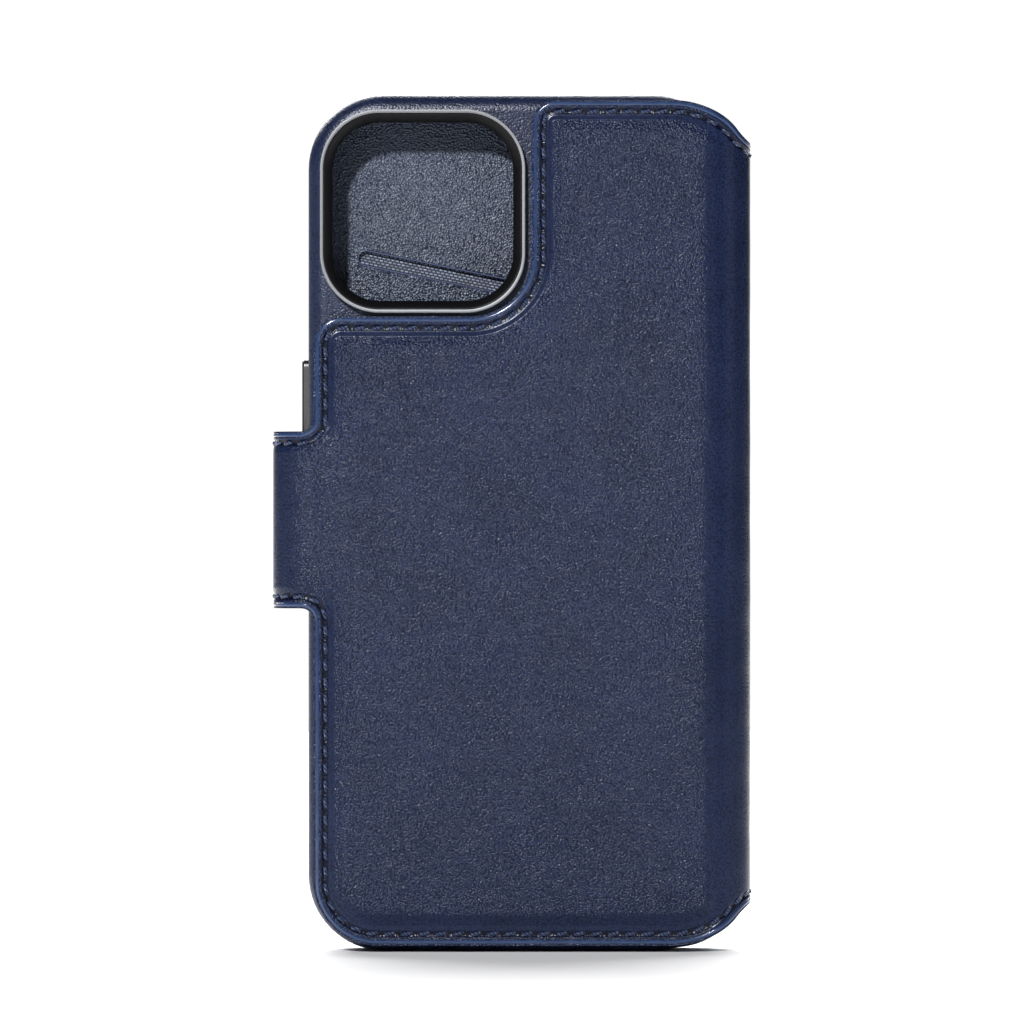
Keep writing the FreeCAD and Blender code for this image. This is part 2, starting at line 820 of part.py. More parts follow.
def stadium_cut(body, side, low, high, radius):
    """Cut an upright stadium through a side wall, from inside the phone's space outwards."""
    sketch = sketch_on(body, "YZ", wall_inside(side, ["wall_overlap"]))
    slot(sketch, ("button_depth", f"{low} + {radius}"), ("button_depth", f"{high} - {radius}"),
         more(radius, ["button_play"]))
    cut(body, sketch, "wall_cut", along_normal=side == SPINE)


def bottom_cut(body):
    """Cut the charging port's opening and the speaker holes through the bottom wall."""
    sketch = sketch_on(body, "XY", "pocket_floor + wall_overlap", ("shell_centre", "0"))
    slot(sketch, ("-port_half_width + port_radius", "button_depth"),
         ("port_half_width - port_radius", "button_depth"), "port_radius")
    for sign in ("", "-"):
        spot = f"{sign}speaker_start"
        for _ in range(SPEAKER_HOLES):
            circle(sketch, spot, "button_depth", "speaker_radius")
            spot += " - speaker_pitch" if sign else " + speaker_pitch"
    cut(body, sketch, "wall_cut")


BUTTONS = (("power_button", STRAP, "power"), ("volume_up_button", SPINE, "volume_up"),
           ("volume_down_button", SPINE, "volume_down"))


def make_shell():
    leather = rounded_tray("shell_leather", [], "shell_back")
    solid = leather.Tip
    front = [f"Face{i}" for i, face in enumerate(solid.Shape.Faces, start=1)
             if face.BoundBox.YMin > number("shell_front") - 1e-3]
    hollow = leather.newObject("PartDesign::Thickness", "hollow_shell_leather")
    hollow.Base = (solid, front)
    hollow.setExpression("Value", formula("skin"))
    hollow.Reversed = True
    doc.recompute()

    frame = rounded_tray("shell_frame", ["skin"], "shell_back + skin")
    opening = box_corners("shell_centre - pocket_half_width + lip",
                          "shell_centre + pocket_half_width - lip", "pocket_floor + lip",
                          "pocket_top - lip", "pocket_corner - lip")
    cut_outline(frame, "shell_front", "shell_front - shell_back - skin - tray_back", opening,
                towards_back=True)
    cavity = box_corners("shell_centre - pocket_half_width", "shell_centre + pocket_half_width",
                         "pocket_floor", "pocket_top", "pocket_corner")
    cut_outline(frame, "lip_back", "lip_back - shell_back - skin - tray_back", cavity,
                towards_back=True)
    magnet_groove(frame, "shell_back + skin + tray_back", "shell_magnet_thickness + seat_play", True)
    magnet_ring("shell_magnets", "shell_back + skin + tray_back - shell_magnet_thickness",
                "shell_magnet_thickness")

    gap = ["bed_lining_gap"]
    bed = plate("shell_lining", "shell_back + skin + tray_back",
                "phone_bed - shell_back - skin - tray_back",
                box_corners(more("shell_centre - pocket_half_width", gap),
                            less("shell_centre + pocket_half_width", gap),
                            more("pocket_floor", gap), less("pocket_top", gap),
                            less("pocket_corner", gap)))
    for body in (leather, frame, bed):
        cut_outline(body, "0", "wall_cut", ring_box(["ring_wall"]))
    for body in (leather, frame):
        bottom_cut(body)
        stadium_cut(body, SPINE, "mute_low", "mute_high", "mute_radius")
        for _, side, name in BUTTONS:
            stadium_cut(body, side, f"{name}_low", f"{name}_high", "button_radius")
    for _, side, name in BUTTONS:
        recess(frame, side, name)


def flange_slot(sketch, name, play):
    """The stadium of a button's flange, grown by a list of cells."""
    slot(sketch, ("button_depth", f"{name}_low + button_radius"),
         ("button_depth", f"{name}_high - button_radius"),
         more("button_radius + button_flange", play))


def recess(frame, side, name):
    """Cut the recess in the tray's wall that a button's flange moves in."""
    sketch = sketch_on(frame, "YZ", wall_inside(side, ["wall_overlap"]))
    flange_slot(sketch, name, ["button_play"])
    cut(frame, sketch, "wall_overlap + flange_recess", along_normal=side == SPINE)


def make_button(label, side, name):
    """A push button: a domed-end bar through the wall, with a flange that keeps it in."""
    proud = "power_proud" if name == "power" else "volume_proud"
    body = new_body(label)
    inner = wall_inside(side)
    bar = sketch_on(body, "YZ", inner)
    slot(bar, ("button_depth", f"{name}_low + button_radius"),
         ("button_depth", f"{name}_high - button_radius"), "button_radius")
    pad(body, bar, f"shell_half_width - pocket_half_width + {proud}", backwards=side == STRAP)
    proud_x = number("shell_centre") + side * number(f"shell_half_width + {proud}")
    edges = []
    for i, edge in enumerate(body.Tip.Shape.Edges, start=1):
        box = edge.BoundBox
        if abs(box.XMin - proud_x) < 1e-3 and abs(box.XMax - proud_x) < 1e-3:
            edges.append(f"Edge{i}")
    dress(body, "Fillet", edges, "flange_recess")
    flange = sketch_on(body, "YZ", inner)
    flange_slot(flange, name, [])
    pad(body, flange, "flange_thickness", backwards=side == STRAP)


def make_camera_ring():
    seat = "shell_back"
    ring = new_body("camera_ring")
    sketch = sketch_on(ring, "XZ", negative("ring_crest"))
    outline(sketch, ring_box([]))
    outline(sketch, ring_box(["ring_wall"]))
    pad_depth(ring, sketch, less(seat, ["ring_crest"]))
    crest = number("ring_crest")
    outer_loop = edges_at_depth(ring.Tip.Shape, crest, number("ring_wall") / 2, inner=False)
    dress(ring, "Chamfer", outer_loop, "ring_chamfer")
    bezel = new_body("camera_bezel")
    sketch = sketch_on(bezel, "XZ", negative("bezel_crest"))
    outline(sketch, ring_box(["ring_wall"]))
    outline(sketch, ring_box(["ring_wall", "bezel_wall"]))
    pad_depth(bezel, sketch, "phone_bed - bezel_crest")
    crest = number("bezel_crest")
    inner_loop = edges_at_depth(bezel.Tip.Shape, crest, number("bezel_wall") / 2)
    dress(bezel, "Chamfer", inner_loop, "bezel_chamfer")


# ---- everything ----

def write_parts():
    for obj in doc.Objects:
        if "Invalid" in obj.State or "Error" in obj.State:
            raise RuntimeError(f"{obj.Label} did not compute: {obj.State}")
    bodies = [obj for obj in doc.Objects if obj.TypeId == "PartDesign::Body"]
    for body in bodies:
        if body.Shape.isNull() or not body.Shape.isValid() or not body.Shape.Solids:
            raise RuntimeError(f"{body.Label} has no valid solid")
    os.makedirs("parts", exist_ok=True)
    for body in bodies:
        body.Shape.exportStep(f"parts/{body.Label}.step")
        print(body.Label, len(body.Shape.Solids), round(body.Shape.Volume, 2))


make_sheet()
make_back_leather()
make_back_foam()
make_back_board()
make_back_magnets()
make_back_lining()
make_spine()
make_front_layers()
make_front_board()
make_card_pockets()
make_strap()
make_tongue_core()
make_shell()
make_camera_ring()
for label, side, name in BUTTONS:
    make_button(label, side, name)
doc.recompute()
write_parts()
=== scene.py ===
import math

import bpy
import numpy as np
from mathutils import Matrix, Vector
from mathutils.geometry import delaunay_2d_cdt


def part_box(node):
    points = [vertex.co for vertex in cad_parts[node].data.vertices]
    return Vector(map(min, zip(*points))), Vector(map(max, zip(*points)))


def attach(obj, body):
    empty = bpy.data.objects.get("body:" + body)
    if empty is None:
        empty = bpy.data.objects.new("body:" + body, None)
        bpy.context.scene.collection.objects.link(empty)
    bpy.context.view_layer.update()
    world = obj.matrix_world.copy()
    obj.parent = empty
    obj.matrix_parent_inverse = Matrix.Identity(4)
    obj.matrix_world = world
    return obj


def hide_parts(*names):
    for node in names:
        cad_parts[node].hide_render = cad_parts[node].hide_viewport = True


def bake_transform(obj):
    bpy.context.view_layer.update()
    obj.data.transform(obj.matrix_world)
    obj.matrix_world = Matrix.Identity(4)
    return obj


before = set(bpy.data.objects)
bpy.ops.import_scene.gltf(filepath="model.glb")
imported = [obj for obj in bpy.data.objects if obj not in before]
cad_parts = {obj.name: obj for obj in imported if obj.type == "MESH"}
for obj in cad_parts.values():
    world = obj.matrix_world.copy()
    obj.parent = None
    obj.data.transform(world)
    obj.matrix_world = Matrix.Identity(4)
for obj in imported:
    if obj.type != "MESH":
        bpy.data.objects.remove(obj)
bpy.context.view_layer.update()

# A folio wallet case seen from its padded back. All sizes here are millimetres; MM turns them
# into metres when a mesh is made. The folio's hide is drawn flat, as the maker would cut it,
# and then wrapped round the case: u runs across the flat pattern, equal to X on the back
# panel, through the spine to the front cover on the +u side and through the strap on the -u
# side. z is the height, and "lift" is how far a point stands off the hide's own surface.

MM = 0.001


def corners_mm(node):
    """A CAD node's lowest and highest corners, in millimetres."""
    low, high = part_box(node)
    return Vector(low) / MM, Vector(high) / MM


BACK_LOW, BACK_HIGH = corners_mm("back_leather")
SPINE_LOW, SPINE_HIGH = corners_mm("spine_leather")
FRONT_LOW, FRONT_HIGH = corners_mm("front_leather")
TONGUE_LOW, TONGUE_HIGH = corners_mm("strap_tongue_leather")
CARD_LOW, CARD_HIGH = corners_mm("card_panel")
RING_LOW, RING_HIGH = corners_mm("camera_ring")
BEZEL_LOW, BEZEL_HIGH = corners_mm("camera_bezel")

PAD_RISE = 0.6                              # the padded field above the margin
MARGIN_Y = BACK_LOW.y + PAD_RISE            # the back panel's margin face
FRONT_Y = FRONT_HIGH.y
TONGUE_Y = TONGUE_HIGH.y
PANEL_LEFT = FRONT_LOW.x
HALF_WIDTH = SPINE_HIGH.x
BEND = 6.8                                  # outer radius of every fold
QUARTER = BEND * math.pi / 2                # hide used up by one fold
BEND_X = HALF_WIDTH - BEND                  # where the folds start
LEATHER = 0.85
FOLIO = 2.0                                 # leather, board and lining together
COVER = FRONT_Y - CARD_LOW.y                # the front cover with its card pockets

SPINE_U = BEND_X + QUARTER                  # the spine's flat part starts here
SPINE_FLAT = FRONT_Y - MARGIN_Y - 2 * BEND
FRONT_U = SPINE_U + SPINE_FLAT + QUARTER    # the front cover starts here
FRONT_END_U = FRONT_U + BEND_X - PANEL_LEFT
STRAP_FLAT = TONGUE_Y - MARGIN_Y - 2 * BEND
TONGUE_U = -(BEND_X + 2 * QUARTER + STRAP_FLAT)
TONGUE_END_U = TONGUE_U - (BEND_X + TONGUE_HIGH.x)

# the lines that the pieces of the hide meet on
SPINE_CUT = SPINE_U + SPINE_FLAT / 2
STRAP_ROOT_CUT = PANEL_LEFT - 2.4
STRAP_SIDE_CUT = -(BEND_X + QUARTER + STRAP_FLAT / 2)

# the card panel and its slanted slots, from the upper one down
CARD_CORNER = 10.5
CARD_SHEET = 0.75
SLOT_TOPS = (123.4, 108.4, 93.4)
SLOT_LEFT = -26.2
SLOT_RIGHT = 27.0
SLOT_FALL = 10.9
SLOT_HALF = 1.35

# the camera cutout and the corner radii of the hide
CUTOUT_RIGHT = 3.5
CUTOUT_LOW = 112.7
FREE_CORNER = 11.5
SPINE_CORNER = 17.0
SPINE_FILLET = 8.0
SPINE_CORNER_U = 28.2
CUTOUT_ARC = 11.0
CUTOUT_TOP_CORNER = 4.3
CUTOUT_SIDE_CORNER = 4.9
STRAP_FILLET = 2.2
TONGUE_CORNER = 7.0

# the make of the edge, as distances from it: a painted bead, a channel with the row of
# stitches, a smooth groove, then the field
BEAD = 0.9
CHANNEL_DEPTH = 0.22
CHANNEL_SIDES = (1.35, 1.85, 2.2, 2.75)     # where its two walls start and end
PAINTED_SHADE_SIDES = (1.3, 1.7, 2.4, 2.75)          # the same for the painted shade in it
STITCH_INSET = 2.1
STITCH_PITCH = 3.05
GROOVE_START = 2.5
GROOVE_DEPTH = 0.14                         # on the front cover, which has no padding
FIELD_START = 3.6
FIELD_FULL = 5.8

PAD_END = (34.4, 36.4)                      # u where the padded field runs out
ROOT_SMOOTH = (39.4, 41.4)                  # -u where the strap's bend pulls the grain smooth
STRAP_RISE = 0.34                           # the strap's own slight crown, at its root
STRAP_RISE_LOST = 0.24                      # how much of it the bend takes away
STRAP_FADE = 5.0                            # over which the strap's crown starts, top and bottom


def smooth(start, end, x):
    """0 before start, 1 after end, and a soft step between them."""
    t = np.clip((x - start) / (end - start), 0, 1)
    return t * t * (3 - 2 * t)


def between(sides, x):
    """1 between two soft walls and 0 outside; sides are where each wall starts and ends."""
    return smooth(sides[0], sides[1], x) * (1 - smooth(sides[2], sides[3], x))


# ---- flat outlines ----

def spine_curve(panel_z, spine_z, going_in, u_start, direction):
    """The two corners of the soft step between a panel's edge and the spine's edge."""
    drop = abs(panel_z - spine_z)
    turn = math.acos(1 - drop / (SPINE_CORNER + SPINE_FILLET))
    first = u_start + direction * SPINE_CORNER * math.tan(turn / 2)
    run = (SPINE_CORNER + SPINE_FILLET) * math.tan(turn / 2) * math.cos(turn)
    corners = [(first, panel_z, SPINE_CORNER), (first + direction * run, spine_z, SPINE_FILLET)]
    return corners if going_in else corners[::-1]


def hide_outline(with_strap=True):
    """The whole hide, counter-clockwise, as (u, z, corner radius)."""
    back_u = SPINE_CORNER_U
    front_u = FRONT_U + BEND_X - SPINE_CORNER_U
    low, top = SPINE_LOW.z, SPINE_HIGH.z
    corners = [(PANEL_LEFT, BACK_LOW.z, FREE_CORNER)]
    corners += spine_curve(BACK_LOW.z, low, True, back_u, 1)
    corners += spine_curve(FRONT_LOW.z, low, False, front_u, -1)
    corners += [(FRONT_END_U, FRONT_LOW.z, FREE_CORNER), (FRONT_END_U, FRONT_HIGH.z, FREE_CORNER)]
    corners += spine_curve(FRONT_HIGH.z, top, True, front_u, -1)
    corners += spine_curve(BACK_HIGH.z, top, False, back_u, 1)
    corners += [(CUTOUT_RIGHT, BACK_HIGH.z, CUTOUT_TOP_CORNER),
                (CUTOUT_RIGHT, CUTOUT_LOW, CUTOUT_ARC),
                (PANEL_LEFT, CUTOUT_LOW, CUTOUT_SIDE_CORNER)]
    if with_strap:
        corners += [(PANEL_LEFT, TONGUE_HIGH.z, STRAP_FILLET),
                    (TONGUE_END_U, TONGUE_HIGH.z, TONGUE_CORNER),
                    (TONGUE_END_U, TONGUE_LOW.z, TONGUE_CORNER),
                    (PANEL_LEFT, TONGUE_LOW.z, STRAP_FILLET)]
    return corners


def rounded_box(low_x, high_x, low_z, high_z, radius):
    """A rectangle's corners, counter-clockwise, as (x, z, corner radius)."""
    return [(low_x, low_z, radius), (high_x, low_z, radius), (high_x, high_z, radius),
            (low_x, high_z, radius)]


def loop(corners, inset=0.0, step=1.0, stations=()):
    """Points round an outline drawn in by an inset; every inset gives the same count.

    Straight runs get a point about every step, and on level runs one at each u in stations.
    """
    count = len(corners)
    spots = [np.array(c[:2], float) for c in corners]
    ways = []
    lengths = []
    for i in range(count):
        run = spots[(i + 1) % count] - spots[i]
        lengths.append(np.linalg.norm(run))
        ways.append(run / lengths[-1])
    turns = []
    for i in range(count):
        a, b = ways[i - 1], ways[i]
        turns.append(math.atan2(a[0] * b[1] - a[1] * b[0], float(a @ b)))
    moved = []
    radii = []
    for i in range(count):
        a, b = ways[i - 1], ways[i]
        inward = np.array([-a[1] - b[1], a[0] + b[0]]) / (1 + float(a @ b))
        moved.append(spots[i] + inset * inward)
        sign = 1 if turns[i] > 0 else -1
        radii.append(max(corners[i][2] - sign * inset, 0.02))
    points = []
    for i in range(count):
        half = abs(turns[i]) / 2
        reach = radii[i] * math.tan(half)
        sign = 1 if turns[i] > 0 else -1
        start = moved[i] - ways[i - 1] * reach
        normal = np.array([-ways[i - 1][1], ways[i - 1][0]]) * sign
        centre = start + normal * radii[i]
        arcs = max(3, round(corners[i][2] * abs(turns[i]) / (0.6 * step)))
        arm = -normal * radii[i]
        for k in range(arcs + 1):
            angle = turns[i] * k / arcs
            c, s = math.cos(angle), math.sin(angle)
            points.append(centre + np.array([c * arm[0] - s * arm[1], s * arm[0] + c * arm[1]]))
        end = points[-1]
        after = (i + 1) % count
        next_reach = radii[after] * math.tan(abs(turns[after]) / 2)
        goal = moved[after] - ways[i] * next_reach
        plain = corners[i][2] * math.tan(half) + corners[after][2] * math.tan(abs(turns[after]) / 2)
        if lengths[i] - plain < 0.001:
            points.pop()
        pieces = max(1, round((lengths[i] - plain) / step))
        shares = [k / pieces for k in range(1, pieces)]
        if abs(ways[i][1]) < 1e-6:
            inner = [(u - end[0]) / (goal[0] - end[0]) for u in stations]
            shares = sorted(shares + [f for f in inner if 1e-3 < f < 1 - 1e-3])
        points += [end + (goal - end) * f for f in shares]
    return np.array(points)


def inside(points, ring):
    """Which points lie inside a closed ring."""
    x, y = points[:, 0][:, None], points[:, 1][:, None]
    x0, y0 = ring[:, 0], ring[:, 1]
    x1, y1 = np.roll(x0, -1), np.roll(y0, -1)
    straddles = (y0 > y) != (y1 > y)
    rise = np.where(y1 == y0, 1e-12, y1 - y0)
    crossing = x < (x1 - x0) * (y - y0) / rise + x0
    return (straddles & crossing).sum(axis=1) % 2 == 1


def distance_to(points, ring):
    """Each point's distance to a closed ring."""
    a = ring
    b = np.roll(ring, -1, axis=0)
    run = b - a
    square = (run ** 2).sum(axis=1) + 1e-12
    best = np.full(len(points), 1e9)
    for first in range(0, len(points), 2000):
        some = points[first:first + 2000]
        offset = some[:, None, :] - a[None]
        t = np.clip((offset * run).sum(axis=2) / square, 0, 1)
        gap = offset - t[..., None] * run
        best[first:first + 2000] = np.sqrt((gap ** 2).sum(axis=2).min(axis=1))
    return best


def triangulate(rings, lines, extra):
    """A flat net of triangles that keeps every ring and line; extra are loose points."""
    points = []
    edges = []
    for ring in rings:
        first = len(points)
        points += [tuple(p) for p in ring]
        edges += [(first + i, first + (i + 1) % len(ring)) for i in range(len(ring))]
    for a, b in lines:
        edges.append((len(points), len(points) + 1))
        points += [a, b]
    points += [tuple(p) for p in extra]
    flat = [Vector(p) for p in points]
    verts, _, faces, _, _, _ = delaunay_2d_cdt(flat, edges, [], 0, 1e-5)
    return np.array([tuple(v) for v in verts]), np.array([tuple(f) for f in faces])


def keep_inside(verts, faces, outer, holes=()):
    """Drop the triangles outside the outer ring or inside a hole."""
    middle = verts[faces].mean(axis=1)
    keep = inside(middle, outer)
    for hole in holes:
        keep &= ~inside(middle, hole)
    return faces[keep]


# ---- from the flat hide to the case ----

def wrap_side(run, lift, front_y):
    """Distance past a fold's start, and the lift, to (distance out in X, y)."""
    flat = front_y - MARGIN_Y - 2 * BEND
    r = BEND + lift
    first = np.clip(run / BEND, 0, math.pi / 2)
    along = np.clip(run - QUARTER, 0, flat)
    second = np.clip((run - QUARTER - flat) / BEND, 0, math.pi / 2)
    rest = np.maximum(run - 2 * QUARTER - flat, 0)
    before = np.minimum(run, 0)
    out = before + r * np.sin(first)
    y = MARGIN_Y + BEND - r * np.cos(first) + along
    out = out - r * (1 - np.cos(second)) - rest
    y = y + r * np.sin(second)
    return out, y


def wrap(u, z, lift):
    """Points of the flat hide as points of the case, in millimetres."""
    right_out, right_y = wrap_side(u - BEND_X, lift, FRONT_Y)
    left_out, left_y = wrap_side(-u - BEND_X, lift, TONGUE_Y)
    on_right = u > 0
    x = np.where(on_right, BEND_X + right_out, -BEND_X - left_out)
    y = np.where(on_right, right_y, left_y)
    return np.stack([x, y, z], axis=1)


def strap_level(z):
    """1 at the heights where the strap leaves the back panel, fading out at its edges."""
    low, high = TONGUE_LOW.z, TONGUE_HIGH.z
    return smooth(low, low + STRAP_FADE, z) * (1 - smooth(high - STRAP_FADE, high, z))


def hide_lift(u, z, edge, panel):
    """How far the leather's face stands off the hide's surface.

    edge is the distance to the hide's own edge, and panel the distance to the edge of the
    panels alone, as if the strap were cut off.
    """
    channel = -CHANNEL_DEPTH * between(CHANNEL_SIDES, edge)
    groove = smooth(GROOVE_START - 0.3, GROOVE_START, panel)
    groove *= 1 - smooth(FIELD_START, FIELD_FULL, panel)
    on_back = 1 - smooth(*PAD_END, u)
    on_front = smooth(FRONT_U - 2, FRONT_U + 2, u)
    field = smooth(FIELD_START, FIELD_FULL, panel)
    strap_rise = STRAP_RISE - STRAP_RISE_LOST * smooth(BEND_X + 2, BEND_X + QUARTER, -u)
    strap_field = smooth(STITCH_INSET + 0.4, STITCH_INSET + 1.6, edge) * strap_zone(u, z)
    lift = channel - groove * GROOVE_DEPTH * on_front + PAD_RISE * field * on_back
    return lift + strap_rise * strap_field * (1 - field)


def strap_zone(u, z):
    """1 on the strap and at its root, 0 on the rest of the hide."""
    return np.maximum(strap_level(z), smooth(-PANEL_LEFT, -PANEL_LEFT + 2.5, -u)) * (u < 0)


def hide_grain(u, z, edge, panel):
    """1 where the pebbled grain shows and 0 where the leather is pressed or pulled smooth."""
    groove = smooth(GROOVE_START - 0.25, GROOVE_START + 0.1, panel)
    groove *= 1 - smooth(FIELD_START - 0.1, FIELD_START + 0.35, panel)
    grain = 1 - groove * (1 - 0.85 * strap_zone(u, z))
    spine = smooth(BEND_X - 0.9, BEND_X, u) * (1 - smooth(FRONT_U - 1, FRONT_U + 1, u))
    strap_side = smooth(*ROOT_SMOOTH, -u) * (1 - smooth(-TONGUE_U - 4, -TONGUE_U, -u))
    painted_seam_shade = 0.6 * painted_shade_in_seam(edge)
    return grain * (1 - 0.97 * spine) * (1 - 0.95 * strap_side) * (1 - painted_seam_shade)


def painted_shade_in_seam(edge):
    """1 in the channel that the stitches lie in, where shade is painted into the colour, and 0
    elsewhere.
    """
    return between(PAINTED_SHADE_SIDES, edge)


# ---- mesh pieces ----

def add_mesh(name, points, faces, material, uv=None, values=None):
    """A smooth-shaded object from points in millimetres; uv holds millimetres too."""
    mesh = bpy.data.meshes.new(name)
    corners = [tuple(p) for p in np.asarray(points) * MM]
    mesh.from_pydata(corners, [], [list(map(int, face)) for face in faces])
    mesh.polygons.foreach_set("use_smooth", [True] * len(mesh.polygons))
    if uv is not None:
        layer = mesh.uv_layers.new(name="hide")
        index = np.zeros(len(mesh.loops), np.int32)
        mesh.loops.foreach_get("vertex_index", index)
        layer.data.foreach_set("uv", (np.asarray(uv)[index] * MM).astype(np.float32).ravel())
    for key, value in (values or {}).items():
        attribute = mesh.attributes.new(key, "FLOAT", "POINT")
        attribute.data.foreach_set("value", np.asarray(value, np.float32))
    mesh.materials.append(material)
    mesh.set_sharp_from_angle(angle=math.radians(50))
    mesh.update()
    piece = bpy.data.objects.new(name, mesh)
    bpy.context.scene.collection.objects.link(piece)
    return piece


def border(faces):
    """The directed edges that belong to one face only."""
    pairs = np.concatenate([faces[:, [0, 1]], faces[:, [1, 2]], faces[:, [2, 0]]])
    have = {tuple(p) for p in pairs}
    return [p for p in have if (p[1], p[0]) not in have]


def slab(flat, faces, top_lift, low_lift, place):
    """A closed sheet: the net at one lift, its copy at a lower one, and the edge between."""
    used = np.unique(faces)
    order = np.full(len(flat), -1)
    order[used] = np.arange(len(used))
    faces = order[faces]
    flat = flat[used]
    top = place(flat[:, 0], flat[:, 1], top_lift[used])
    low = place(flat[:, 0], flat[:, 1], low_lift[used])
    count = len(used)
    quads = [(b, a, a + count, b + count) for a, b in border(faces)]
    all_faces = list(faces) + list(faces[:, ::-1] + count) + quads
    return np.concatenate([top, low]), all_faces, np.concatenate([flat, flat]), used


def strip(rings):
    """Quads between neighbouring closed rings that have the same count of points."""
    count = len(rings[0])
    faces = []
    for r in range(len(rings) - 1):
        a, b = r * count, (r + 1) * count
        for i in range(count):
            j = (i + 1) % count
            faces.append((a + i, a + j, b + j, b + i))
    return np.concatenate(rings), faces


def closed_strip(rings):
    """The same, and from the last ring back to the first."""
    points, faces = strip(rings)
    count = len(rings[0])
    last = (len(rings) - 1) * count
    faces += [(last + i, last + (i + 1) % count, (i + 1) % count, i) for i in range(count)]
    return points, faces


# ---- materials ----

def new_material(name, color, roughness, **sockets):
    """A Principled material and a short way to add nodes to it."""
    material = bpy.data.materials.new(name)
    material.use_nodes = True
    shader = material.node_tree.nodes["Principled BSDF"]
    shader.inputs["Base Color"].default_value = (*color, 1)
    shader.inputs["Roughness"].default_value = roughness
    for key, value in sockets.items():
        shader.inputs[key.replace("_", " ")].default_value = value
    return material, material.node_tree, shader


def node(tree, kind, links=None, **values):
    """A node with its sockets set by name: links take other nodes' outputs."""
    made = tree.nodes.new("ShaderNode" + kind)
    for key, value in values.items():
        if key in made.inputs:
            made.inputs[key].default_value = value
        else:
            setattr(made, key, value)
    for key, output in (links or {}).items():
        tree.links.new(output, made.inputs[key])
    return made


def coordinates(tree, on_hide):
    """The place in metres: on the flat hide for its pieces, and in the case for the others."""
    if on_hide:
        return node(tree, "UVMap", uv_map="hide").outputs["UV"]
    return node(tree, "TexCoord").outputs["Object"]


def math_node(tree, operation, a, b=None):
    """A Math node on two values, each a number or another node's output."""
    made = tree.nodes.new("ShaderNodeMath")
    made.operation = operation
    for socket, value in ((0, a), (1, b)):
        if value is None:
            continue
        if isinstance(value, (int, float)):
            made.inputs[socket].default_value = value
        else:
            tree.links.new(value, made.inputs[socket])
    return made.outputs[0]


def ramp(tree, factor, low, high, low_color, high_color):
    """A colour that runs from low_color to high_color as factor goes from low to high."""
    made = node(tree, "ValToRGB", {"Fac": factor})
    made.color_ramp.elements[0].position = low
    made.color_ramp.elements[0].color = (*low_color, 1)
    made.color_ramp.elements[1].position = high
    made.color_ramp.elements[1].color = (*high_color, 1)
    return made.outputs["Color"]


def multiply(tree, a, b):
    """Two colours multiplied."""
    made = node(tree, "Mix", data_type="RGBA", blend_type="MULTIPLY")
    made.inputs["Factor"].default_value = 1.0
    tree.links.new(a, made.inputs["A"])
    tree.links.new(b, made.inputs["B"])
    return made.outputs["Result"]


def shade(color, factor):
    """A colour made darker or lighter by a factor."""
    return tuple(min(1, c * factor) for c in color)


SLOT_ANGLE = math.atan2(SLOT_FALL, SLOT_RIGHT - SLOT_LEFT)
NAVY = (0.0098, 0.0172, 0.050)
PAINT = (0.018, 0.040, 0.110)
THREAD = (0.010, 0.018, 0.050)
COOL_GLINT = (0.86, 0.90, 1.0, 1)
SUEDE = (0.020, 0.025, 0.048)
CARD_NAVY = (0.024, 0.036, 0.066)
WARP = (0.018, 0.028, 0.066)
WEFT = (0.30, 0.36, 0.52)


